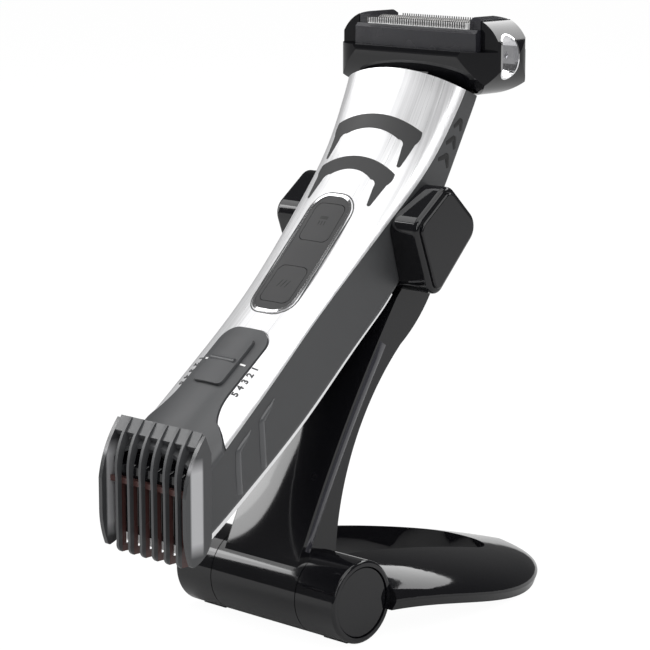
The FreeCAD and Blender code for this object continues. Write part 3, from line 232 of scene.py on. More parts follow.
def slab(bm, rows, place, rise, sink=PAD_SINK, closed=False):
    """Adds a thin closed pad: rows of guide points laid on a surface, lifted by rise(row, column)."""
    upper, lower = [], []
    for i, row in enumerate(rows):
        top, low = [], []
        for j, guide in enumerate(row):
            hit, normal = place(*guide)
            top.append(bm.verts.new(hit + normal * rise(i, j)))
            low.append(bm.verts.new(hit - normal * sink))
        upper.append(top)
        lower.append(low)
    count, last = len(rows), len(rows[0]) - 1
    for i in range(count if closed else count - 1):
        k = (i + 1) % count
        for j in range(last):
            bm.faces.new((upper[i][j], upper[i][j + 1], upper[k][j + 1], upper[k][j]))
            bm.faces.new((lower[i][j], lower[k][j], lower[k][j + 1], lower[i][j + 1]))
        for j in (0, last):
            bm.faces.new((upper[i][j], upper[k][j], lower[k][j], lower[i][j]))
    if not closed:
        for i in (0, count - 1):
            for j in range(last):
                bm.faces.new((upper[i][j], upper[i][j + 1], lower[i][j + 1], lower[i][j]))


def band(points, widths, steps=5, columns=5):
    """Rows of guide points across a bent band that follows a line with a width at each point."""
    line = []
    for (a, b), (wa, wb) in zip(zip(points, points[1:]), zip(widths, widths[1:])):
        for s in range(steps):
            k = s / steps
            line.append(((a[0] + (b[0] - a[0]) * k, a[1] + (b[1] - a[1]) * k), wa + (wb - wa) * k))
    line.append((points[-1], widths[-1]))
    rows = []
    for i, (p, w) in enumerate(line):
        before, after = line[max(i - 1, 0)][0], line[min(i + 1, len(line) - 1)][0]
        dx, dy = after[0] - before[0], after[1] - before[1]
        size = math.hypot(dx, dy)
        side = (-dy / size, dx / size)
        rows.append([(p[0] + side[0] * w * (j / (columns - 1) - 0.5),
                      p[1] + side[1] * w * (j / (columns - 1) - 0.5)) for j in range(columns)])
    return rows


def crowned(height, rows, columns):
    """Rise of a pad that is rounded across and runs out at both ends."""
    def rise(i, j):
        across = 1.0 - (2.0 * j / (columns - 1) - 1.0) ** 2
        end = min(1.0, 0.25 + min(i, rows - 1 - i) / 3.0)
        return height * (0.15 + 0.85 * across) * end
    return rise


def oval_line(half_x, t0, t1, radius, steps=8):
    """Closed rounded rectangle in (x, t), counter-clockwise."""
    corners = ((half_x, t1, 0), (-half_x, t1, 90), (-half_x, t0, 180), (half_x, t0, 270))
    points = []
    for x, t, start in corners:
        cx = x - math.copysign(radius, x)
        ct = t - radius if t == t1 else t + radius
        for s in range(steps + 1):
            a = math.radians(start + 90.0 * s / steps)
            points.append((cx + radius * math.cos(a), ct + radius * math.sin(a)))
    return points


# ------------------------------------------------------------------ shader helpers
def new_group(name, inputs, outputs):
    group = bpy.data.node_groups.new(name, "ShaderNodeTree")
    for label, kind, default in inputs:
        socket = group.interface.new_socket(name=label, in_out="INPUT", socket_type=kind)
        if default is not None:
            socket.default_value = default
    for label, kind in outputs:
        group.interface.new_socket(name=label, in_out="OUTPUT", socket_type=kind)
    return group, group.nodes.new("NodeGroupInput"), group.nodes.new("NodeGroupOutput")


def math_node(tree, operation, a, b=None):
    node = tree.nodes.new("ShaderNodeMath")
    node.operation = operation
    for socket, value in zip(node.inputs, (a, b)):
        if value is None:
            continue
        if isinstance(value, (int, float)):
            socket.default_value = value
        else:
            tree.links.new(value, socket)
    return node.outputs[0]


def noise(tree, vector, scale, detail, roughness=0.5):
    node = tree.nodes.new("ShaderNodeTexNoise")
    node.inputs["Detail"].default_value = detail
    node.inputs["Roughness"].default_value = roughness
    tree.links.new(vector, node.inputs["Vector"])
    if isinstance(scale, (int, float)):
        node.inputs["Scale"].default_value = scale
    else:
        tree.links.new(scale, node.inputs["Scale"])
    return node.outputs["Fac"]


def remap(tree, value, low, high, start=0.3, stop=0.7):
    node = tree.nodes.new("ShaderNodeMapRange")
    tree.links.new(value, node.inputs["Value"])
    node.inputs["From Min"].default_value = start
    node.inputs["From Max"].default_value = stop
    for label, item in (("To Min", low), ("To Max", high)):
        if isinstance(item, (int, float)):
            node.inputs[label].default_value = item
        else:
            tree.links.new(item, node.inputs[label])
    return node.outputs["Result"]


def brushed_group():
    """Fine lines drawn one way: shade, roughness and height from a stretched vector."""
    name = "Brushed lines"
    if name in bpy.data.node_groups:
        return bpy.data.node_groups[name]
    group, inside, out = new_group(
        name,
        [("Vector", "NodeSocketVector", None),
         ("Dark", "NodeSocketFloat", 0.7), ("Light", "NodeSocketFloat", 1.0),
         ("Smooth", "NodeSocketFloat", 0.25), ("Coarse", "NodeSocketFloat", 0.4)],
        [("Shade", "NodeSocketFloat"), ("Roughness", "NodeSocketFloat"), ("Height", "NodeSocketFloat")])
    fine = noise(group, inside.outputs["Vector"], 1.0, 4.0, 0.65)
    broad = noise(group, inside.outputs["Vector"], 0.13, 3.0, 0.6)
    mixed = math_node(group, "ADD", math_node(group, "MULTIPLY", fine, 0.55),
                      math_node(group, "MULTIPLY", broad, 0.45))
    shade = remap(group, mixed, inside.outputs["Dark"], inside.outputs["Light"], 0.34, 0.64)
    group.links.new(shade, out.inputs["Shade"])
    rough = remap(group, fine, inside.outputs["Smooth"], inside.outputs["Coarse"])
    group.links.new(rough, out.inputs["Roughness"])
    group.links.new(fine, out.inputs["Height"])
    return group


def grain_group():
    """Fine moulded grain with a slow change of gloss from handling."""
    name = "Moulded grain"
    if name in bpy.data.node_groups:
        return bpy.data.node_groups[name]
    group, inside, out = new_group(
        name,
        [("Vector", "NodeSocketVector", None),
         ("Grain", "NodeSocketFloat", 4000.0), ("Patch", "NodeSocketFloat", 60.0),
         ("Smooth", "NodeSocketFloat", 0.3), ("Coarse", "NodeSocketFloat", 0.5)],
        [("Height", "NodeSocketFloat"), ("Roughness", "NodeSocketFloat"), ("Tint", "NodeSocketFloat")])
    grain = noise(group, inside.outputs["Vector"], inside.outputs["Grain"], 2.0)
    patch = noise(group, inside.outputs["Vector"], inside.outputs["Patch"], 3.0)
    group.links.new(grain, out.inputs["Height"])
    rough = remap(group, patch, inside.outputs["Smooth"], inside.outputs["Coarse"])
    group.links.new(rough, out.inputs["Roughness"])
    group.links.new(remap(group, patch, 0.92, 1.06), out.inputs["Tint"])
    return group


def object_vector(tree, angle=0.0, stretch=None):
    """Object coordinates, turned about X and divided by a stretch in metres."""
    coord = tree.nodes.new("ShaderNodeTexCoord")
    if stretch is None:
        return coord.outputs["Object"]
    mapping = tree.nodes.new("ShaderNodeMapping")
    mapping.vector_type = "TEXTURE"
    mapping.inputs["Rotation"].default_value = (math.radians(angle), 0.0, 0.0)
    mapping.inputs["Scale"].default_value = stretch
    tree.links.new(coord.outputs["Object"], mapping.inputs["Vector"])
    return mapping.outputs["Vector"]


def bump(tree, height, strength, shader):
    node = tree.nodes.new("ShaderNodeBump")
    node.inputs["Strength"].default_value = strength
    node.inputs["Distance"].default_value = GRAIN_DEPTH
    tree.links.new(height, node.inputs["Height"])
    tree.links.new(node.outputs["Normal"], shader.inputs["Normal"])


def tinted(tree, colour, shade, shader):
    """Base colour multiplied by a shade that changes over the surface."""
    mix = tree.nodes.new("ShaderNodeMix")
    mix.data_type = "RGBA"
    mix.blend_type = "MULTIPLY"
    mix.inputs["Factor"].default_value = 1.0
    mix.inputs["A"].default_value = (*colour, 1.0)
    tree.links.new(shade, mix.inputs["B"])
    tree.links.new(mix.outputs["Result"], shader.inputs["Base Color"])


def start_material(name):
    if name in bpy.data.materials:
        return bpy.data.materials[name], None, None
    material = bpy.data.materials.new(name)
    material.use_nodes = True
    return material, material.node_tree, material.node_tree.nodes["Principled BSDF"]


def metal(name, colour, shade, rough, stretch, angle=0.0, strength=0.12, metallic=1.0):
    """Metal with fine lines; shade and rough each give a least and a most."""
    material, tree, shader = start_material(name)
    if tree is None:
        return material
    lines = tree.nodes.new("ShaderNodeGroup")
    lines.node_tree = brushed_group()
    tree.links.new(object_vector(tree, angle, stretch), lines.inputs["Vector"])
    for label, value in zip(("Dark", "Light", "Smooth", "Coarse"), (*shade, *rough)):
        lines.inputs[label].default_value = value
    shader.inputs["Metallic"].default_value = metallic
    tinted(tree, colour, lines.outputs["Shade"], shader)
    tree.links.new(lines.outputs["Roughness"], shader.inputs["Roughness"])
    bump(tree, lines.outputs["Height"], strength, shader)
    return material


def plastic(name, colour, rough, grain=4000.0, strength=0.15, patch=60.0, specular=0.5):
    """Moulded plastic or rubber; rough gives a least and a most."""
    material, tree, shader = start_material(name)
    if tree is None:
        return material
    skin = tree.nodes.new("ShaderNodeGroup")
    skin.node_tree = grain_group()
    tree.links.new(object_vector(tree), skin.inputs["Vector"])
    for label, value in zip(("Grain", "Patch", "Smooth", "Coarse"), (grain, patch, *rough)):
        skin.inputs[label].default_value = value
    tinted(tree, colour, skin.outputs["Tint"], shader)
    tree.links.new(skin.outputs["Roughness"], shader.inputs["Roughness"])
    shader.inputs["Specular IOR Level"].default_value = specular
    if strength:
        bump(tree, skin.outputs["Height"], strength, shader)
    return material


# The cheek's light field: axis, and where it starts and is full on that side, in metres.
CHEEK_FIELD = (
    ("Y", -0.0745, -0.0738),
    ("Y", -0.0694, -0.0700),
    ("Z", 0.0325, 0.0365),
    ("Z", 0.0600, 0.0560),
)


def cheek_material(light, dark):
    """Two-tone plastic: a light tapering field between a dark front edge and a dark back."""
    material = plastic("Comb cheek", dark, (0.16, 0.24), grain=4200.0, strength=0.06)
    tree = material.node_tree
    shader = tree.nodes["Principled BSDF"]
    if "Field" in tree.nodes:
        return material
    split = tree.nodes.new("ShaderNodeSeparateXYZ")
    tree.links.new(object_vector(tree), split.inputs[0])
    masks = []
    for axis, low, high in CHEEK_FIELD:
        masks.append(remap(tree, split.outputs[axis], 0.0, 1.0, low, high))
    field = masks[0]
    for mask in masks[1:]:
        field = math_node(tree, "MULTIPLY", field, mask)
    field.node.name = "Field"
    old = shader.inputs["Base Color"].links[0].from_socket
    mix = tree.nodes.new("ShaderNodeMix")
    mix.data_type = "RGBA"
    mix.inputs["B"].default_value = (*light, 1.0)
    tree.links.new(field, mix.inputs["Factor"])
    tree.links.new(old, mix.inputs["A"])
    tree.links.new(mix.outputs["Result"], shader.inputs["Base Color"])
    return material


GLOSS = {"rough": (0.045, 0.085), "grain": 900.0, "strength": 0.0, "patch": 40.0, "specular": 0.45}
CROWN_HALF_WIDTH = 0.0144
CROWN_FOOT = (0.022, 0.040)  # heights at which the crown begins and is full
CROWN_DEPTH = 0.0012


def upright_material(colour):
    """Gloss black whose front is shaded as gently crowned across, with a soft run-out at its foot."""
    material = plastic("Upright gloss", colour, **GLOSS)
    tree = material.node_tree
    if "Crown" in tree.nodes:
        return material
    split = tree.nodes.new("ShaderNodeSeparateXYZ")
    tree.links.new(object_vector(tree), split.inputs[0])
    across = remap(tree, split.outputs["X"], -1.0, 1.0, -CROWN_HALF_WIDTH, CROWN_HALF_WIDTH)
    rising = remap(tree, split.outputs["Z"], 0.0, 1.0, *CROWN_FOOT)
    height = math_node(tree, "MULTIPLY", math_node(tree, "MULTIPLY", across, across), rising)
    crown = tree.nodes.new("ShaderNodeBump")
    crown.name = "Crown"
    crown.inputs["Distance"].default_value = CROWN_DEPTH
    crown.invert = True
    tree.links.new(height, crown.inputs["Height"])
    tree.links.new(crown.outputs["Normal"], tree.nodes["Principled BSDF"].inputs["Normal"])
    return material


def times(colour, factor):
    """A colour made lighter or darker."""
    return tuple(c * factor for c in colour)


def finish_of(label):
    """The material of one finish, built once."""
    look = bpy.context.scene.groomer_finish
    satin = (look.silver_roughness - 0.08, look.silver_roughness + 0.08)
    makers = {
        "silver": lambda: metal("Satin silver", look.silver, (0.70, 1.0), satin, (0.00022, 0.05, 0.05),
                                angle=52.0, metallic=0.62),
        "dark": lambda: plastic("Dark shell plastic", look.dark, (0.36, 0.44), grain=5200.0, strength=0.25),
        # Dark shell made half again lighter and glossier for the large chevrons: a painted highlight on
        # their raised faces.
        "chevron": lambda: plastic("Chevron plastic", times(look.dark, 1.5), (0.16, 0.22),
                                   grain=5200.0, strength=0.1),
        "comb": lambda: plastic("Comb plastic", times(look.dark, 1.3), (0.30, 0.38),
                                grain=5200.0, strength=0.2),
        "soft": lambda: plastic("Soft touch panel", look.soft, (0.48, 0.58), grain=7000.0, strength=0.3),
        "inlay": lambda: plastic("Rubber inlay", times(look.soft, 0.9), (0.50, 0.62),
                                 grain=6000.0, strength=0.35),
        "gloss": lambda: plastic("Gloss black", look.gloss, **GLOSS),
        "upright": lambda: upright_material(look.gloss),
        # Gloss black made six times lighter and more specular: a painted highlight for the upright's edge
        # beads.
        "painted_highlight": lambda: plastic("Polished edge", times(look.gloss, 6.0), (0.10, 0.16),
                                    grain=900.0, strength=0.0, patch=40.0, specular=0.9),
        "block": lambda: plastic("Foil block black", times(look.gloss, 4.0), (0.22, 0.30),
                                 grain=5000.0, strength=0.12),
        "cheek": lambda: cheek_material(look.cheek, look.dark),
        "smoke": lambda: plastic("Smoked plastic", look.smoke, (0.22, 0.32), grain=3000.0, strength=0.08),
        "chrome": lambda: metal("Bright trim", (0.90, 0.90, 0.91), (0.94, 1.0), (0.05, 0.10),
                                (0.002, 0.02, 0.002), angle=45.0, strength=0.02),
        "blade": lambda: metal("Ground blade steel", (0.88, 0.88, 0.88), (0.80, 1.0), (0.22, 0.34),
                               (0.0006, 0.004, 0.004), strength=0.08, metallic=0.45),
        "foil": lambda: metal("Thin foil", (0.80, 0.79, 0.78), (0.85, 1.0), (0.24, 0.34),
                              (0.002, 0.0008, 0.0008), strength=0.08, metallic=0.6),
        "steel": lambda: metal("Plated steel", (0.52, 0.52, 0.54), (0.85, 1.0), (0.22, 0.34),
                               (0.002, 0.002, 0.002)),
        "brass": lambda: metal("Plated contact", (0.85, 0.68, 0.36), (0.9, 1.0), (0.15, 0.25),
                               (0.001, 0.001, 0.001)),
        "rubber": lambda: plastic("Foot rubber", (0.022, 0.022, 0.023), (0.68, 0.80),
                                  grain=3000.0, strength=0.4),
        "inner": lambda: plastic("Inner plastic", (0.50, 0.50, 0.48), (0.40, 0.50)),
        "cell": lambda: plastic("Cell wrap", (0.06, 0.20, 0.10), (0.25, 0.35)),
        "board": lambda: plastic("Circuit board green", (0.02, 0.13, 0.05), (0.30, 0.42)),
        "mark": lambda: plastic("White marking", (0.80, 0.80, 0.79), (0.38, 0.46),
                                grain=3000.0, strength=0.05),
        "ink": lambda: plastic("Dark marking", (0.030, 0.030, 0.032), (0.40, 0.50),
                               grain=3000.0, strength=0.05),
        # Near black used as painted shade in the foil holes, hair slots, screw cross recesses and small
        # chevrons, and as the colour of the button signs.
        "shadow": lambda: plastic("Hole black", (0.012, 0.012, 0.012), (0.55, 0.65),
                                  grain=3000.0, strength=0.05),
    }
    return makers[label]()


# ------------------------------------------------------------------ geometry nodes
def geometry_tree(name, inputs):
    tree = bpy.data.node_groups.new(name, "GeometryNodeTree")
    tree.interface.new_socket(name="Geometry", in_out="INPUT", socket_type="NodeSocketGeometry")
    for label, kind, default in inputs:
        tree.interface.new_socket(name=label, in_out="INPUT", socket_type=kind).default_value = default
    tree.interface.new_socket(name="Geometry", in_out="OUTPUT", socket_type="NodeSocketGeometry")
    return tree, tree.nodes.new("NodeGroupInput"), tree.nodes.new("NodeGroupOutput")


def end_tree(tree, geometry, out, material):
    """Every tree ends in real geometry with its material."""
    real = tree.nodes.new("GeometryNodeRealizeInstances")
    dress = tree.nodes.new("GeometryNodeSetMaterial")
    dress.inputs["Material"].default_value = material
    tree.links.new(geometry, real.inputs["Geometry"])
    tree.links.new(real.outputs["Geometry"], dress.inputs["Geometry"])
    tree.links.new(dress.outputs["Geometry"], out.inputs["Geometry"])


def grown(name, base, tree, values, material, body):
    """Runs a geometry tree on a base mesh and keeps the result as a plain piece."""
    carrier = bpy.data.objects.new(name + "_carrier", base)
    bpy.context.scene.collection.objects.link(carrier)
    modifier = carrier.modifiers.new(name, "NODES")
    modifier.node_group = tree
    for item in tree.interface.items_tree:
        if item.item_type == "SOCKET" and item.in_out == "INPUT" and item.name in values:
            modifier[item.identifier] = values[item.name]
    bpy.context.view_layer.update()
    result = carrier.evaluated_get(bpy.context.evaluated_depsgraph_get())
    mesh = bpy.data.meshes.new_from_object(result)
    mesh.name = name
    if not mesh.materials:
        mesh.materials.append(material)
    carrier.modifiers.remove(modifier)
    bpy.data.objects.remove(carrier)
    piece = bpy.data.objects.new(name, mesh)
    bpy.context.scene.collection.objects.link(piece)
    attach(piece, body)


DOT_SIDES = 6
DOT_DEPTH = 0.00006


def foil_tree(material):
    """Staggered dark dots, painted shade of holes, on a half-round foil: a flat grid wrapped round the
    foil's axis.
    """
    tree, inside, out = geometry_tree("Foil holes", [
        ("Length", "NodeSocketFloat", 0.038), ("Arc", "NodeSocketFloat", 0.012),
        ("Radius", "NodeSocketFloat", 0.0046), ("Pitch", "NodeSocketFloat", 0.0008),
        ("Hole radius", "NodeSocketFloat", 0.00027), ("Columns", "NodeSocketInt", 44),
        ("Rows", "NodeSocketInt", 14), ("Centre", "NodeSocketVector", (0, 0, 0))])
    radius, pitch = inside.outputs["Radius"], inside.outputs["Pitch"]
    grid = tree.nodes.new("GeometryNodeMeshGrid")
    pairs = (("Size X", "Length"), ("Size Y", "Arc"), ("Vertices X", "Columns"), ("Vertices Y", "Rows"))
    for label, source in pairs:
        tree.links.new(inside.outputs[source], grid.inputs[label])
    position = tree.nodes.new("GeometryNodeInputPosition")
    split = tree.nodes.new("ShaderNodeSeparateXYZ")
    tree.links.new(position.outputs[0], split.inputs[0])
    row = math_node(tree, "ROUND", math_node(tree, "DIVIDE", split.outputs["Y"], pitch))
    odd = math_node(tree, "PINGPONG", row, 1.0)
    shift = math_node(tree, "MULTIPLY", odd, math_node(tree, "MULTIPLY", pitch, 0.5))
    angle = math_node(tree, "DIVIDE", split.outputs["Y"], radius)
    join = tree.nodes.new("ShaderNodeCombineXYZ")
    tree.links.new(math_node(tree, "ADD", split.outputs["X"], shift), join.inputs["X"])
    for axis, ratio in (("Y", "SINE"), ("Z", "COSINE")):
        reach = math_node(tree, "MULTIPLY", math_node(tree, ratio, angle), radius)
        tree.links.new(reach, join.inputs[axis])
    moved = tree.nodes.new("ShaderNodeVectorMath")
    tree.links.new(join.outputs[0], moved.inputs[0])
    tree.links.new(inside.outputs["Centre"], moved.inputs[1])
    turn = tree.nodes.new("ShaderNodeCombineXYZ")
    tree.links.new(math_node(tree, "MULTIPLY", angle, -1.0), turn.inputs["X"])
    store = tree.nodes.new("GeometryNodeStoreNamedAttribute")
    store.data_type = "FLOAT_VECTOR"
    store.inputs["Name"].default_value = "turn"
    tree.links.new(grid.outputs["Mesh"], store.inputs["Geometry"])
    tree.links.new(turn.outputs[0], store.inputs["Value"])
    place = tree.nodes.new("GeometryNodeSetPosition")
    tree.links.new(store.outputs["Geometry"], place.inputs["Geometry"])
    tree.links.new(moved.outputs[0], place.inputs["Position"])
    dot = tree.nodes.new("GeometryNodeMeshCylinder")
    dot.inputs["Vertices"].default_value = DOT_SIDES
    dot.inputs["Depth"].default_value = DOT_DEPTH
    tree.links.new(inside.outputs["Hole radius"], dot.inputs["Radius"])
    stored = tree.nodes.new("GeometryNodeInputNamedAttribute")
    stored.data_type = "FLOAT_VECTOR"
    stored.inputs["Name"].default_value = "turn"
    spread = tree.nodes.new("GeometryNodeInstanceOnPoints")
    tree.links.new(place.outputs["Geometry"], spread.inputs["Points"])
    tree.links.new(dot.outputs["Mesh"], spread.inputs["Instance"])
    tree.links.new(stored.outputs["Attribute"], spread.inputs["Rotation"])
    end_tree(tree, spread.outputs["Instances"], out, material)
    return tree


def row_tree(name, material):
    """A row of small boxes on the points of the base mesh."""
    tree, inside, out = geometry_tree(name, [("Size", "NodeSocketVector", (0.0006, 0.0004, 0.001))])
    cube = tree.nodes.new("GeometryNodeMeshCube")
    tree.links.new(inside.outputs["Size"], cube.inputs["Size"])
    spread = tree.nodes.new("GeometryNodeInstanceOnPoints")
    tree.links.new(inside.outputs["Geometry"], spread.inputs["Points"])
    tree.links.new(cube.outputs["Mesh"], spread.inputs["Instance"])
    end_tree(tree, spread.outputs["Instances"], out, material)
    return tree


def cross_tree(material):
    """A flat cross on each point of the base mesh."""
    tree, inside, out = geometry_tree("Screw crosses", [
        ("Long", "NodeSocketVector", (0.0024, 0.0005, 0.0002)),
        ("Wide", "NodeSocketVector", (0.0005, 0.0024, 0.0002)),
        ("Turn", "NodeSocketVector", (0.0, 0.0, 0.6))])
    join = tree.nodes.new("GeometryNodeJoinGeometry")
    for label in ("Long", "Wide"):
        bar = tree.nodes.new("GeometryNodeMeshCube")
        tree.links.new(inside.outputs[label], bar.inputs["Size"])
        tree.links.new(bar.outputs["Mesh"], join.inputs["Geometry"])
    spread = tree.nodes.new("GeometryNodeInstanceOnPoints")
    tree.links.new(inside.outputs["Geometry"], spread.inputs["Points"])
    tree.links.new(join.outputs["Geometry"], spread.inputs["Instance"])
    tree.links.new(inside.outputs["Turn"], spread.inputs["Rotation"])
    end_tree(tree, spread.outputs["Instances"], out, material)
    return tree


def point_mesh(name, points):
    mesh = bpy.data.meshes.new(name)
    mesh.from_pydata([tuple(p) for p in points], [], [])
    return mesh


# ------------------------------------------------------------------ operators
DRESS = {
    "gloss": ("base_loop", "base_cover", "hinge_cap_left", "hinge_cap_right", "upright_back_cover",
              "ear_covers", "power_inlet", "head_housing", "head_neck", "trimmer_frame"),
    "upright": ("upright_arm",),
    "block": ("foil_frame", "end_plate", "neck_collar"),
    "silver": ("front_shell",),
    "dark": ("rear_shell",),
    "comb": ("comb_guard", "length_slide"),
    "soft": ("button_panel", "shaver_button", "trimmer_button"),
    "inlay": ("grip_inlay_upper", "grip_inlay_lower"),
    "chrome": ("button_bezel", "rear_trim", "hoop_liners"),
    "cheek": ("comb_cheeks",),
    "smoke": ("comb_insert",),
    "blade": ("pre_trimmer_front", "pre_trimmer_rear", "fixed_blade", "moving_blade", "foil_cutter"),
    "foil": ("shaving_foil",),
    "steel": ("base_screws", "case_screws", "hinge_pin", "tilt_springs", "pivot_pins", "blade_spring",
              "battery_contacts", "shaver_motor", "trimmer_motor"),
    "brass": ("stand_contacts", "charge_contacts"),
    "rubber": ("rubber_feet", "neck_seal"),
    "inner": ("chassis", "tact_switches", "shaver_eccentric", "trimmer_eccentric",
              "cutter_carrier", "blade_carrier"),
    "cell": ("battery",),
    "board": ("circuit_board",),
}

# Places in millimetres: t runs along the parting line, n outwards from it and x across.
LARGE_CHEVRONS = (
    ((15.6, -3.4), (12.0, -3.9), (8.4, -4.4), (5.4, -8.6), (1.6, -14.6)),
    ((27.4, -3.8), (23.6, -4.3), (19.9, -4.9), (16.6, -9.8), (12.6, -16.0)),
)
LARGE_WIDTHS = (0.5, 1.6, 2.3, 2.5, 2.2)
SMALL_CHEVRONS = ((127.4, -3.5, 1.9), (122.2, -3.9, 2.3), (117.0, -4.5, 2.7))  # t, middle n, half height
SMALL_WIDTHS = (1.2, 1.7, 1.7, 1.2)
PANEL_OVAL = (8.35, 49.8, 93.2, 6.4)  # half width, lower t, upper t, corner radius
PANEL_LINE = 0.4
SIGN_RISE = 0.00012
BAR_WIDTH = 0.42
BAR_XS = (-1.5, 0.0, 1.5)
BAR_SLANT = 0.45
BAR_TS = (59.4, 62.0)
BLOCK_HALF, BLOCK_T, BLOCK_WIDTH = 1.5, 84.6, 1.1
TOOTH_XS = (-1.1, 0.0, 1.1)
TOOTH_TS = (82.0, 83.5)
INDEX_XS = (6.1, 7.9)
INDEX_T, INDEX_WIDTH, INDEX_RISE = 30.4, 0.55, 0.00005
DIGIT_X, DIGIT_T, DIGIT_STEP = 10.8, 33.2, 2.45
DIGIT_HALF_THICK, DIGIT_BOLD, DIGIT_LIFT = 0.04, 0.11, 0.01
SCREW_XS, SCREW_YS = (-27.0, 27.0), (34.0, 62.0)
EDGE_START, EDGE_HEIGHT, EDGE_POINTS = 24.0, 56.0, 28
EDGE_WIDTH, EDGE_WIDENING, EDGE_BACK = 2.2, 0.8, 2.6

# In metres.
FOIL_HOLE_ROWS = 13
FOIL_END = 0.0012  # length of foil without holes, both ends together
NOTCH_SIZE = (0.00034, 0.00012, 0.0018)
NOTCH_DROP = 0.0022
SCREW_REACH = 0.004


class GROOMER_OT_dress(bpy.types.Operator):
    """Gives each CAD part its finish"""

    bl_idname = "groomer.dress"
    bl_label = "Finish the moulded parts"

    def execute(self, context):
        dressed = set()
        for label, names in DRESS.items():
            material = finish_of(label)
            for name in names:
                part = NODES[name]
                if not part.material_slots:
                    part.data.materials.append(material)
                for holder in part.material_slots:
                    holder.material = material
                dressed.add(name)
        bare = sorted(set(NODES) - dressed)
        if bare:
            raise RuntimeError("these parts have no finish: %s" % bare)
        return {"FINISHED"}


class GROOMER_OT_large_chevrons(bpy.types.Operator):
    """Two large raised chevrons on each flank of the handle, coloured lighter than the shell as a painted
    highlight
    """

    bl_idname = "groomer.large_chevrons"
    bl_label = "Large chevrons"

    def execute(self, context):
        rise = context.scene.groomer_detail.large_rise
        tree = surface_of("rear_shell")
        for side, label in ((1, "right"), (-1, "left")):
            bm = bmesh.new()
            for points in LARGE_CHEVRONS:
                rows = band(points, LARGE_WIDTHS, 5, 7)
                slab(bm, rows, on_side(tree, side), crowned(rise, len(rows), 7))
            # The chevrons get the lighter chevron finish, a painted highlight.
            add_piece("large_chevrons_" + label, bm, finish_of("chevron"), "handle")
        return {"FINISHED"}


class GROOMER_OT_small_chevrons(bpy.types.Operator):
    """Three small chevrons near the head on each flank of the handle, coloured near black as painted shade
    of their recesses
    """

    bl_idname = "groomer.small_chevrons"
    bl_label = "Small chevrons"

    def execute(self, context):
        rise = context.scene.groomer_detail.small_rise
        tree = surface_of("rear_shell")
        for side, label in ((1, "right"), (-1, "left")):
            bm = bmesh.new()
            for t, middle, half in SMALL_CHEVRONS:
                points = [(t - 2.6, middle + half), (t, middle + 0.3),
                          (t - 0.2, middle - 0.4), (t - 2.2, middle - half)]
                rows = band(points, SMALL_WIDTHS, 3, 5)
                slab(bm, rows, on_side(tree, side), crowned(rise, len(rows), 5))
            # Near black here is painted shade of the recessed chevrons.
            add_piece("small_chevrons_" + label, bm, finish_of("shadow"), "handle")
        return {"FINISHED"}


class GROOMER_OT_panel_outline(bpy.types.Operator):
    """Fine dark line round the bright frame of the button panel"""

    bl_idname = "groomer.panel_outline"
    bl_label = "Button panel outline"

    def execute(self, context):
        place = on_front(surface_of("front_shell", "button_bezel"))
        half, low, high, radius = PANEL_OVAL
        inner = oval_line(*PANEL_OVAL)
        outer = oval_line(half + PANEL_LINE, low - PANEL_LINE, high + PANEL_LINE, radius + PANEL_LINE)
        bm = bmesh.new()
        rows = [[a, ((a[0] + b[0]) / 2, (a[1] + b[1]) / 2), b] for a, b in zip(inner, outer)]
        slab(bm, rows, place, lambda i, j: 0.00006 if j == 1 else 0.00003, closed=True)
        add_piece("panel_outline", bm, finish_of("ink"), "handle")
        return {"FINISHED"}


class GROOMER_OT_button_signs(bpy.types.Operator):
    """Plain signs on the two buttons: three slanted bars, and a small block over three short teeth"""

    bl_idname = "groomer.button_signs"
    bl_label = "Button signs"

    def execute(self, context):
        material = finish_of("shadow")
        place = on_front(surface_of("trimmer_button"))
        bm = bmesh.new()
        for x in BAR_XS:
            ends = [(x - BAR_SLANT, BAR_TS[0]), (x + BAR_SLANT, BAR_TS[1])]
            rows = band(ends, [BAR_WIDTH, BAR_WIDTH], 4, 3)
            slab(bm, rows, place, crowned(SIGN_RISE, len(rows), 3))
        add_piece("trimmer_button_sign", bm, material, "trimmer_button_cap")
        place = on_front(surface_of("shaver_button"))
        bm = bmesh.new()
        shapes = [([(-BLOCK_HALF, BLOCK_T), (BLOCK_HALF, BLOCK_T)], BLOCK_WIDTH)]
        shapes += [([(x, TOOTH_TS[0]), (x, TOOTH_TS[1])], BAR_WIDTH) for x in TOOTH_XS]
        for points, width in shapes:
            rows = band(points, [width, width], 4, 3)
            slab(bm, rows, place, crowned(SIGN_RISE, len(rows), 3))
        add_piece("shaver_button_sign", bm, material, "shaver_button_cap")
        return {"FINISHED"}


class GROOMER_OT_index_marks(bpy.types.Operator):
    """White index marks on both sides of the length slide"""

    bl_idname = "groomer.index_marks"
    bl_label = "Index marks"

    def execute(self, context):
        place = on_front(surface_of("comb_guard"))
        bm = bmesh.new()
        for side in (-1, 1):
            ends = [(side * x, INDEX_T) for x in INDEX_XS]
            rows = band(ends, [INDEX_WIDTH, INDEX_WIDTH], 3, 3)
            slab(bm, rows, place, lambda i, j: INDEX_RISE)
        add_piece("index_marks", bm, finish_of("mark"), "comb")
        return {"FINISHED"}


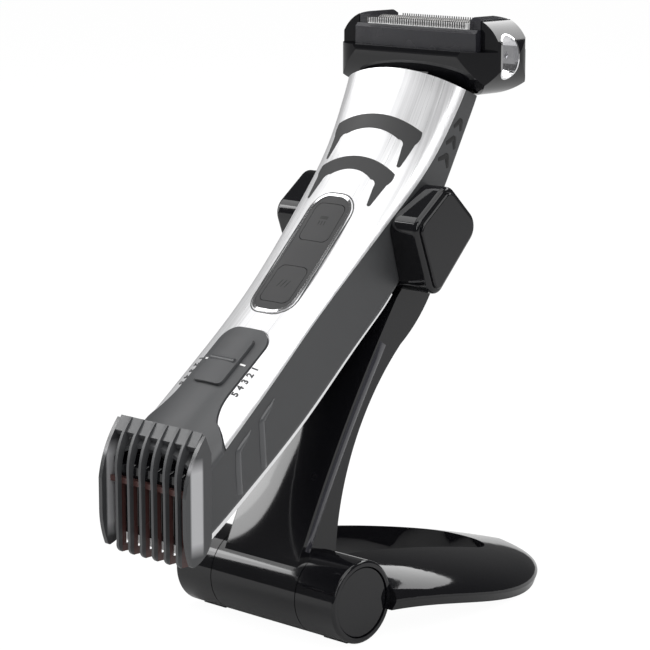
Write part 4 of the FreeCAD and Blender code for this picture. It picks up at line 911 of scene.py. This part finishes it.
class GROOMER_OT_digits(bpy.types.Operator):
    """Numbers 1 to 5 printed on both sides of the length slide"""

    bl_idname = "groomer.digits"
    bl_label = "Length numbers"

    def execute(self, context):
        size = context.scene.groomer_detail.digit_size
        place = on_front(surface_of("front_shell"))
        for side, label in ((1, "right"), (-1, "left")):
            bm = bmesh.new()
            for number in range(1, 6):
                self.add_digit(bm, str(number), side, DIGIT_T - DIGIT_STEP * number, size, place)
            add_piece("length_numbers_" + label, bm, finish_of("ink"), "handle")
        return {"FINISHED"}

    def add_digit(self, bm, text, side, t, size, place):
        """One digit, read with its top towards the slide."""
        curve = bpy.data.curves.new("digit_" + text, "FONT")
        curve.body = text
        curve.size = size / MM
        curve.align_x = "CENTER"
        curve.align_y = "CENTER"
        curve.extrude = DIGIT_HALF_THICK
        curve.offset = DIGIT_BOLD
        holder = bpy.data.objects.new(curve.name, curve)
        bpy.context.scene.collection.objects.link(holder)
        bpy.context.view_layer.update()
        glyph = bpy.data.meshes.new_from_object(holder.evaluated_get(bpy.context.evaluated_depsgraph_get()))
        bpy.data.objects.remove(holder)
        corners = []
        for v in glyph.vertices:
            hit, normal = place(side * DIGIT_X - side * v.co.y, t + side * v.co.x)
            corners.append(bm.verts.new(hit + normal * ((v.co.z + DIGIT_LIFT) * MM)))
        for polygon in glyph.polygons:
            bm.faces.new([corners[i] for i in polygon.vertices])


class GROOMER_OT_foil_holes(bpy.types.Operator):
    """Rows of small dark dots on the shaving foil: painted shade for its holes"""

    bl_idname = "groomer.foil_holes"
    bl_label = "Foil holes"

    def execute(self, context):
        detail = context.scene.groomer_detail
        low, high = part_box("shaving_foil")
        radius = (high.y - low.y) / 2
        centre = Vector(((low.x + high.x) / 2 - detail.hole_pitch / 4, (low.y + high.y) / 2, low.z))
        columns = int((high.x - low.x - FOIL_END) / detail.hole_pitch)
        material = finish_of("shadow")
        values = {"Length": columns * detail.hole_pitch, "Arc": (FOIL_HOLE_ROWS - 1) * detail.hole_pitch,
                  "Radius": radius, "Pitch": detail.hole_pitch, "Hole radius": detail.hole_radius,
                  "Columns": columns + 1, "Rows": FOIL_HOLE_ROWS, "Centre": centre}
        grown("foil_holes", point_mesh("foil_start", [(0, 0, 0)]), foil_tree(material), values, material,
              "foil_block")
        return {"FINISHED"}


class GROOMER_OT_block_notches(bpy.types.Operator):
    """Dark boxes along the front and back of the foil block, level with the toothed strips: painted shade of
    its hair slots
    """

    bl_idname = "groomer.block_notches"
    bl_label = "Block notches"

    def execute(self, context):
        count = context.scene.groomer_detail.notch_count
        low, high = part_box("foil_frame")
        strip_low, strip_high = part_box("pre_trimmer_front")
        material = finish_of("shadow")
        points = []
        for y in (low.y, high.y):
            for i in range(count):
                x = strip_low.x + (strip_high.x - strip_low.x) * (i + 0.5) / count
                points.append((x, y, high.z - NOTCH_DROP))
        grown("block_notches", point_mesh("notch_points", points), row_tree("Notch row", material),
              {"Size": NOTCH_SIZE}, material, "foil_block")
        return {"FINISHED"}


class GROOMER_OT_screw_crosses(bpy.types.Operator):
    """Dark flat crosses on the screws under the base: painted shade of their cross recesses"""

    bl_idname = "groomer.screw_crosses"
    bl_label = "Screw crosses"

    def execute(self, context):
        heads = NODES["base_screws"].data.vertices
        points = []
        for x in SCREW_XS:
            for y in SCREW_YS:
                centre = Vector((x * MM, y * MM + PLACE_Y))
                near = [v.co.z for v in heads if (v.co.xy - centre).length < SCREW_REACH]
                points.append((centre.x, centre.y, min(near)))
        material = finish_of("shadow")
        grown("screw_crosses", point_mesh("screw_points", points), cross_tree(material), {}, material,
              "base")
        return {"FINISHED"}


class GROOMER_OT_upright_edges(bpy.types.Operator):
    """Rounded bead along both front edges of the upright, coloured lighter than the gloss black as a painted
    highlight of the lit bevel
    """

    bl_idname = "groomer.upright_edges"
    bl_label = "Upright edges"

    def execute(self, context):
        tree = surface_of("upright_arm")
        rise = context.scene.groomer_detail.edge_rise
        last = EDGE_POINTS - 1
        line = [self.front_edge(EDGE_START + EDGE_HEIGHT * i / last) for i in range(EDGE_POINTS)]
        widths = [EDGE_WIDTH + EDGE_WIDENING * i / last for i in range(EDGE_POINTS)]
        for side, label in ((1, "right"), (-1, "left")):
            def place(y, z, side=side):
                start = Vector((side * SIDE_START, y * MM + PLACE_Y, z * MM))
                return meet(tree, start, Vector((-side, 0, 0)))
            bm = bmesh.new()
            rows = band(line, widths, 1, 7)
            slab(bm, rows, place, crowned(rise, len(rows), 7))
            add_piece("upright_edge_" + label, bm, finish_of("painted_highlight"), "upright")
        return {"FINISHED"}

    def front_edge(self, z):
        """Point beside the front edge of the upright at a height, in millimetres."""
        (y0, z0), (y1, z1), (y2, z2) = UPRIGHT_FRONT
        y = (y0 * (z - z1) * (z - z2) / ((z0 - z1) * (z0 - z2))
             + y1 * (z - z0) * (z - z2) / ((z1 - z0) * (z1 - z2))
             + y2 * (z - z0) * (z - z1) / ((z2 - z0) * (z2 - z1)))
        return (y + EDGE_BACK, z)


# Name, place and size of each soft light, in metres; its power is a property of the stage.
LIGHTS = (
    ("top", (0.05, -0.12, 1.15), (1.25, 1.0)),
    ("front", (-0.98, -0.66, 0.46), (0.26, 0.75)),
    ("left", (-1.00, -0.36, 0.78), (0.62, 0.95)),
    ("right", (1.00, -0.02, 0.80), (0.75, 0.85)),
    ("edge", (0.90, -0.66, 0.62), (0.16, 0.80)),
    ("back", (0.20, 1.05, 0.98), (1.50, 0.32)),
)
LIGHT_AIM = (0, 0, 0.09)
FLOOR_DROP = 0.0001
FLOOR_GREY = 0.55
FLOOR_SHOWN = 0.9  # share of plain white where the camera sees the floor
SKY_LIGHT = 0.5
SKY_GLOSS_LOSS = 0.38  # how much dimmer the sky is in reflections
CAMERA_PLACE = (0.5015, -0.5077 + PLACE_Y, 0.2254)
CAMERA_TURN = (79.037, 0.0, 43.635)
CAMERA_LENS = 141.74


class GROOMER_OT_stage(bpy.types.Operator):
    """Pale floor, soft lights and the camera"""

    bl_idname = "groomer.stage"
    bl_label = "Stage"

    def execute(self, context):
        stage = context.scene.groomer_stage
        self.floor(stage)
        self.sky(context.scene)
        for name, place, size in LIGHTS:
            self.lamp(name, place, size, getattr(stage, name + "_light"))
        self.camera(context.scene)
        return {"FINISHED"}

    def floor(self, stage):
        bm = bmesh.new()
        bmesh.ops.create_grid(bm, x_segments=1, y_segments=1, size=stage.floor_size / 2)
        mesh = bpy.data.meshes.new("floor")
        bm.to_mesh(mesh)
        bm.free()
        mesh.transform(Matrix.Translation((0, 0, -FLOOR_DROP)))
        floor = bpy.data.objects.new("floor", mesh)
        bpy.context.scene.collection.objects.link(floor)
        material = bpy.data.materials.new("Pale floor")
        material.use_nodes = True
        tree = material.node_tree
        tree.nodes.remove(tree.nodes["Principled BSDF"])
        matt = tree.nodes.new("ShaderNodeBsdfDiffuse")
        matt.inputs["Color"].default_value = (FLOOR_GREY, FLOOR_GREY, FLOOR_GREY, 1)
        glow = tree.nodes.new("ShaderNodeEmission")
        glow.inputs["Strength"].default_value = stage.floor_glow
        path = tree.nodes.new("ShaderNodeLightPath")
        mix = tree.nodes.new("ShaderNodeMixShader")
        share = math_node(tree, "MULTIPLY", path.outputs["Is Camera Ray"], FLOOR_SHOWN)
        tree.links.new(share, mix.inputs["Fac"])
        tree.links.new(matt.outputs[0], mix.inputs[1])
        tree.links.new(glow.outputs[0], mix.inputs[2])
        tree.links.new(mix.outputs[0], tree.nodes["Material Output"].inputs["Surface"])
        mesh.materials.append(material)

    def sky(self, scene):
        world = bpy.data.worlds.new("Studio")
        world.use_nodes = True
        tree = world.node_tree
        shade = tree.nodes["Background"]
        shade.inputs["Color"].default_value = (1, 1, 1, 1)
        path = tree.nodes.new("ShaderNodeLightPath")
        seen = math_node(tree, "MULTIPLY_ADD", path.outputs["Is Camera Ray"], SKY_LIGHT)
        seen.node.inputs[2].default_value = SKY_LIGHT
        dim = math_node(tree, "MULTIPLY", path.outputs["Is Glossy Ray"], SKY_GLOSS_LOSS)
        tree.links.new(math_node(tree, "SUBTRACT", seen, dim), shade.inputs["Strength"])
        scene.world = world
        scene.view_settings.view_transform = "Standard"

    def lamp(self, name, place, size, power):
        data = bpy.data.lights.new(name, "AREA")
        data.shape = "RECTANGLE"
        data.size, data.size_y = size
        data.energy = power
        lamp = bpy.data.objects.new(name, data)
        lamp.location = place
        lamp.rotation_euler = (Vector(LIGHT_AIM) - Vector(place)).to_track_quat("-Z", "Y").to_euler()
        bpy.context.scene.collection.objects.link(lamp)

    def camera(self, scene):
        data = bpy.data.cameras.new("camera")
        data.sensor_width = 36.0
        data.lens = CAMERA_LENS
        data.clip_end = 100.0
        camera = bpy.data.objects.new("camera", data)
        camera.location = CAMERA_PLACE
        camera.rotation_euler = [math.radians(a) for a in CAMERA_TURN]
        scene.collection.objects.link(camera)
        scene.camera = camera


OPERATORS = (
    GROOMER_OT_stage,
    GROOMER_OT_dress,
    GROOMER_OT_large_chevrons,
    GROOMER_OT_small_chevrons,
    GROOMER_OT_panel_outline,
    GROOMER_OT_button_signs,
    GROOMER_OT_index_marks,
    GROOMER_OT_digits,
    GROOMER_OT_upright_edges,
    GROOMER_OT_foil_holes,
    GROOMER_OT_block_notches,
    GROOMER_OT_screw_crosses,
)


class GROOMER_PT_panel(bpy.types.Panel):
    """Sizes, colours and steps of the groomer"""

    bl_idname = "GROOMER_PT_panel"
    bl_label = "Body groomer"
    bl_space_type = "VIEW_3D"
    bl_region_type = "UI"
    bl_category = "Groomer"

    def draw(self, context):
        for name, group in GROUPS.items():
            values = getattr(context.scene, name)
            for key in group.__annotations__:
                self.layout.prop(values, key)
        for operator in OPERATORS:
            self.layout.operator(operator.bl_idname)


def register():
    for group in GROUPS.values():
        bpy.utils.register_class(group)
    for name, group in GROUPS.items():
        setattr(bpy.types.Scene, name, bpy.props.PointerProperty(type=group))
    for item in OPERATORS + (GROOMER_PT_panel,):
        bpy.utils.register_class(item)


def unregister():
    for item in reversed(OPERATORS + (GROOMER_PT_panel,)):
        bpy.utils.unregister_class(item)
    for name in GROUPS:
        delattr(bpy.types.Scene, name)
    for group in reversed(list(GROUPS.values())):
        bpy.utils.unregister_class(group)


def main():
    register()
    for operator in OPERATORS:
        space, name = operator.bl_idname.split(".")
        getattr(getattr(bpy.ops, space), name)()


if __name__ == "__main__":
    main()
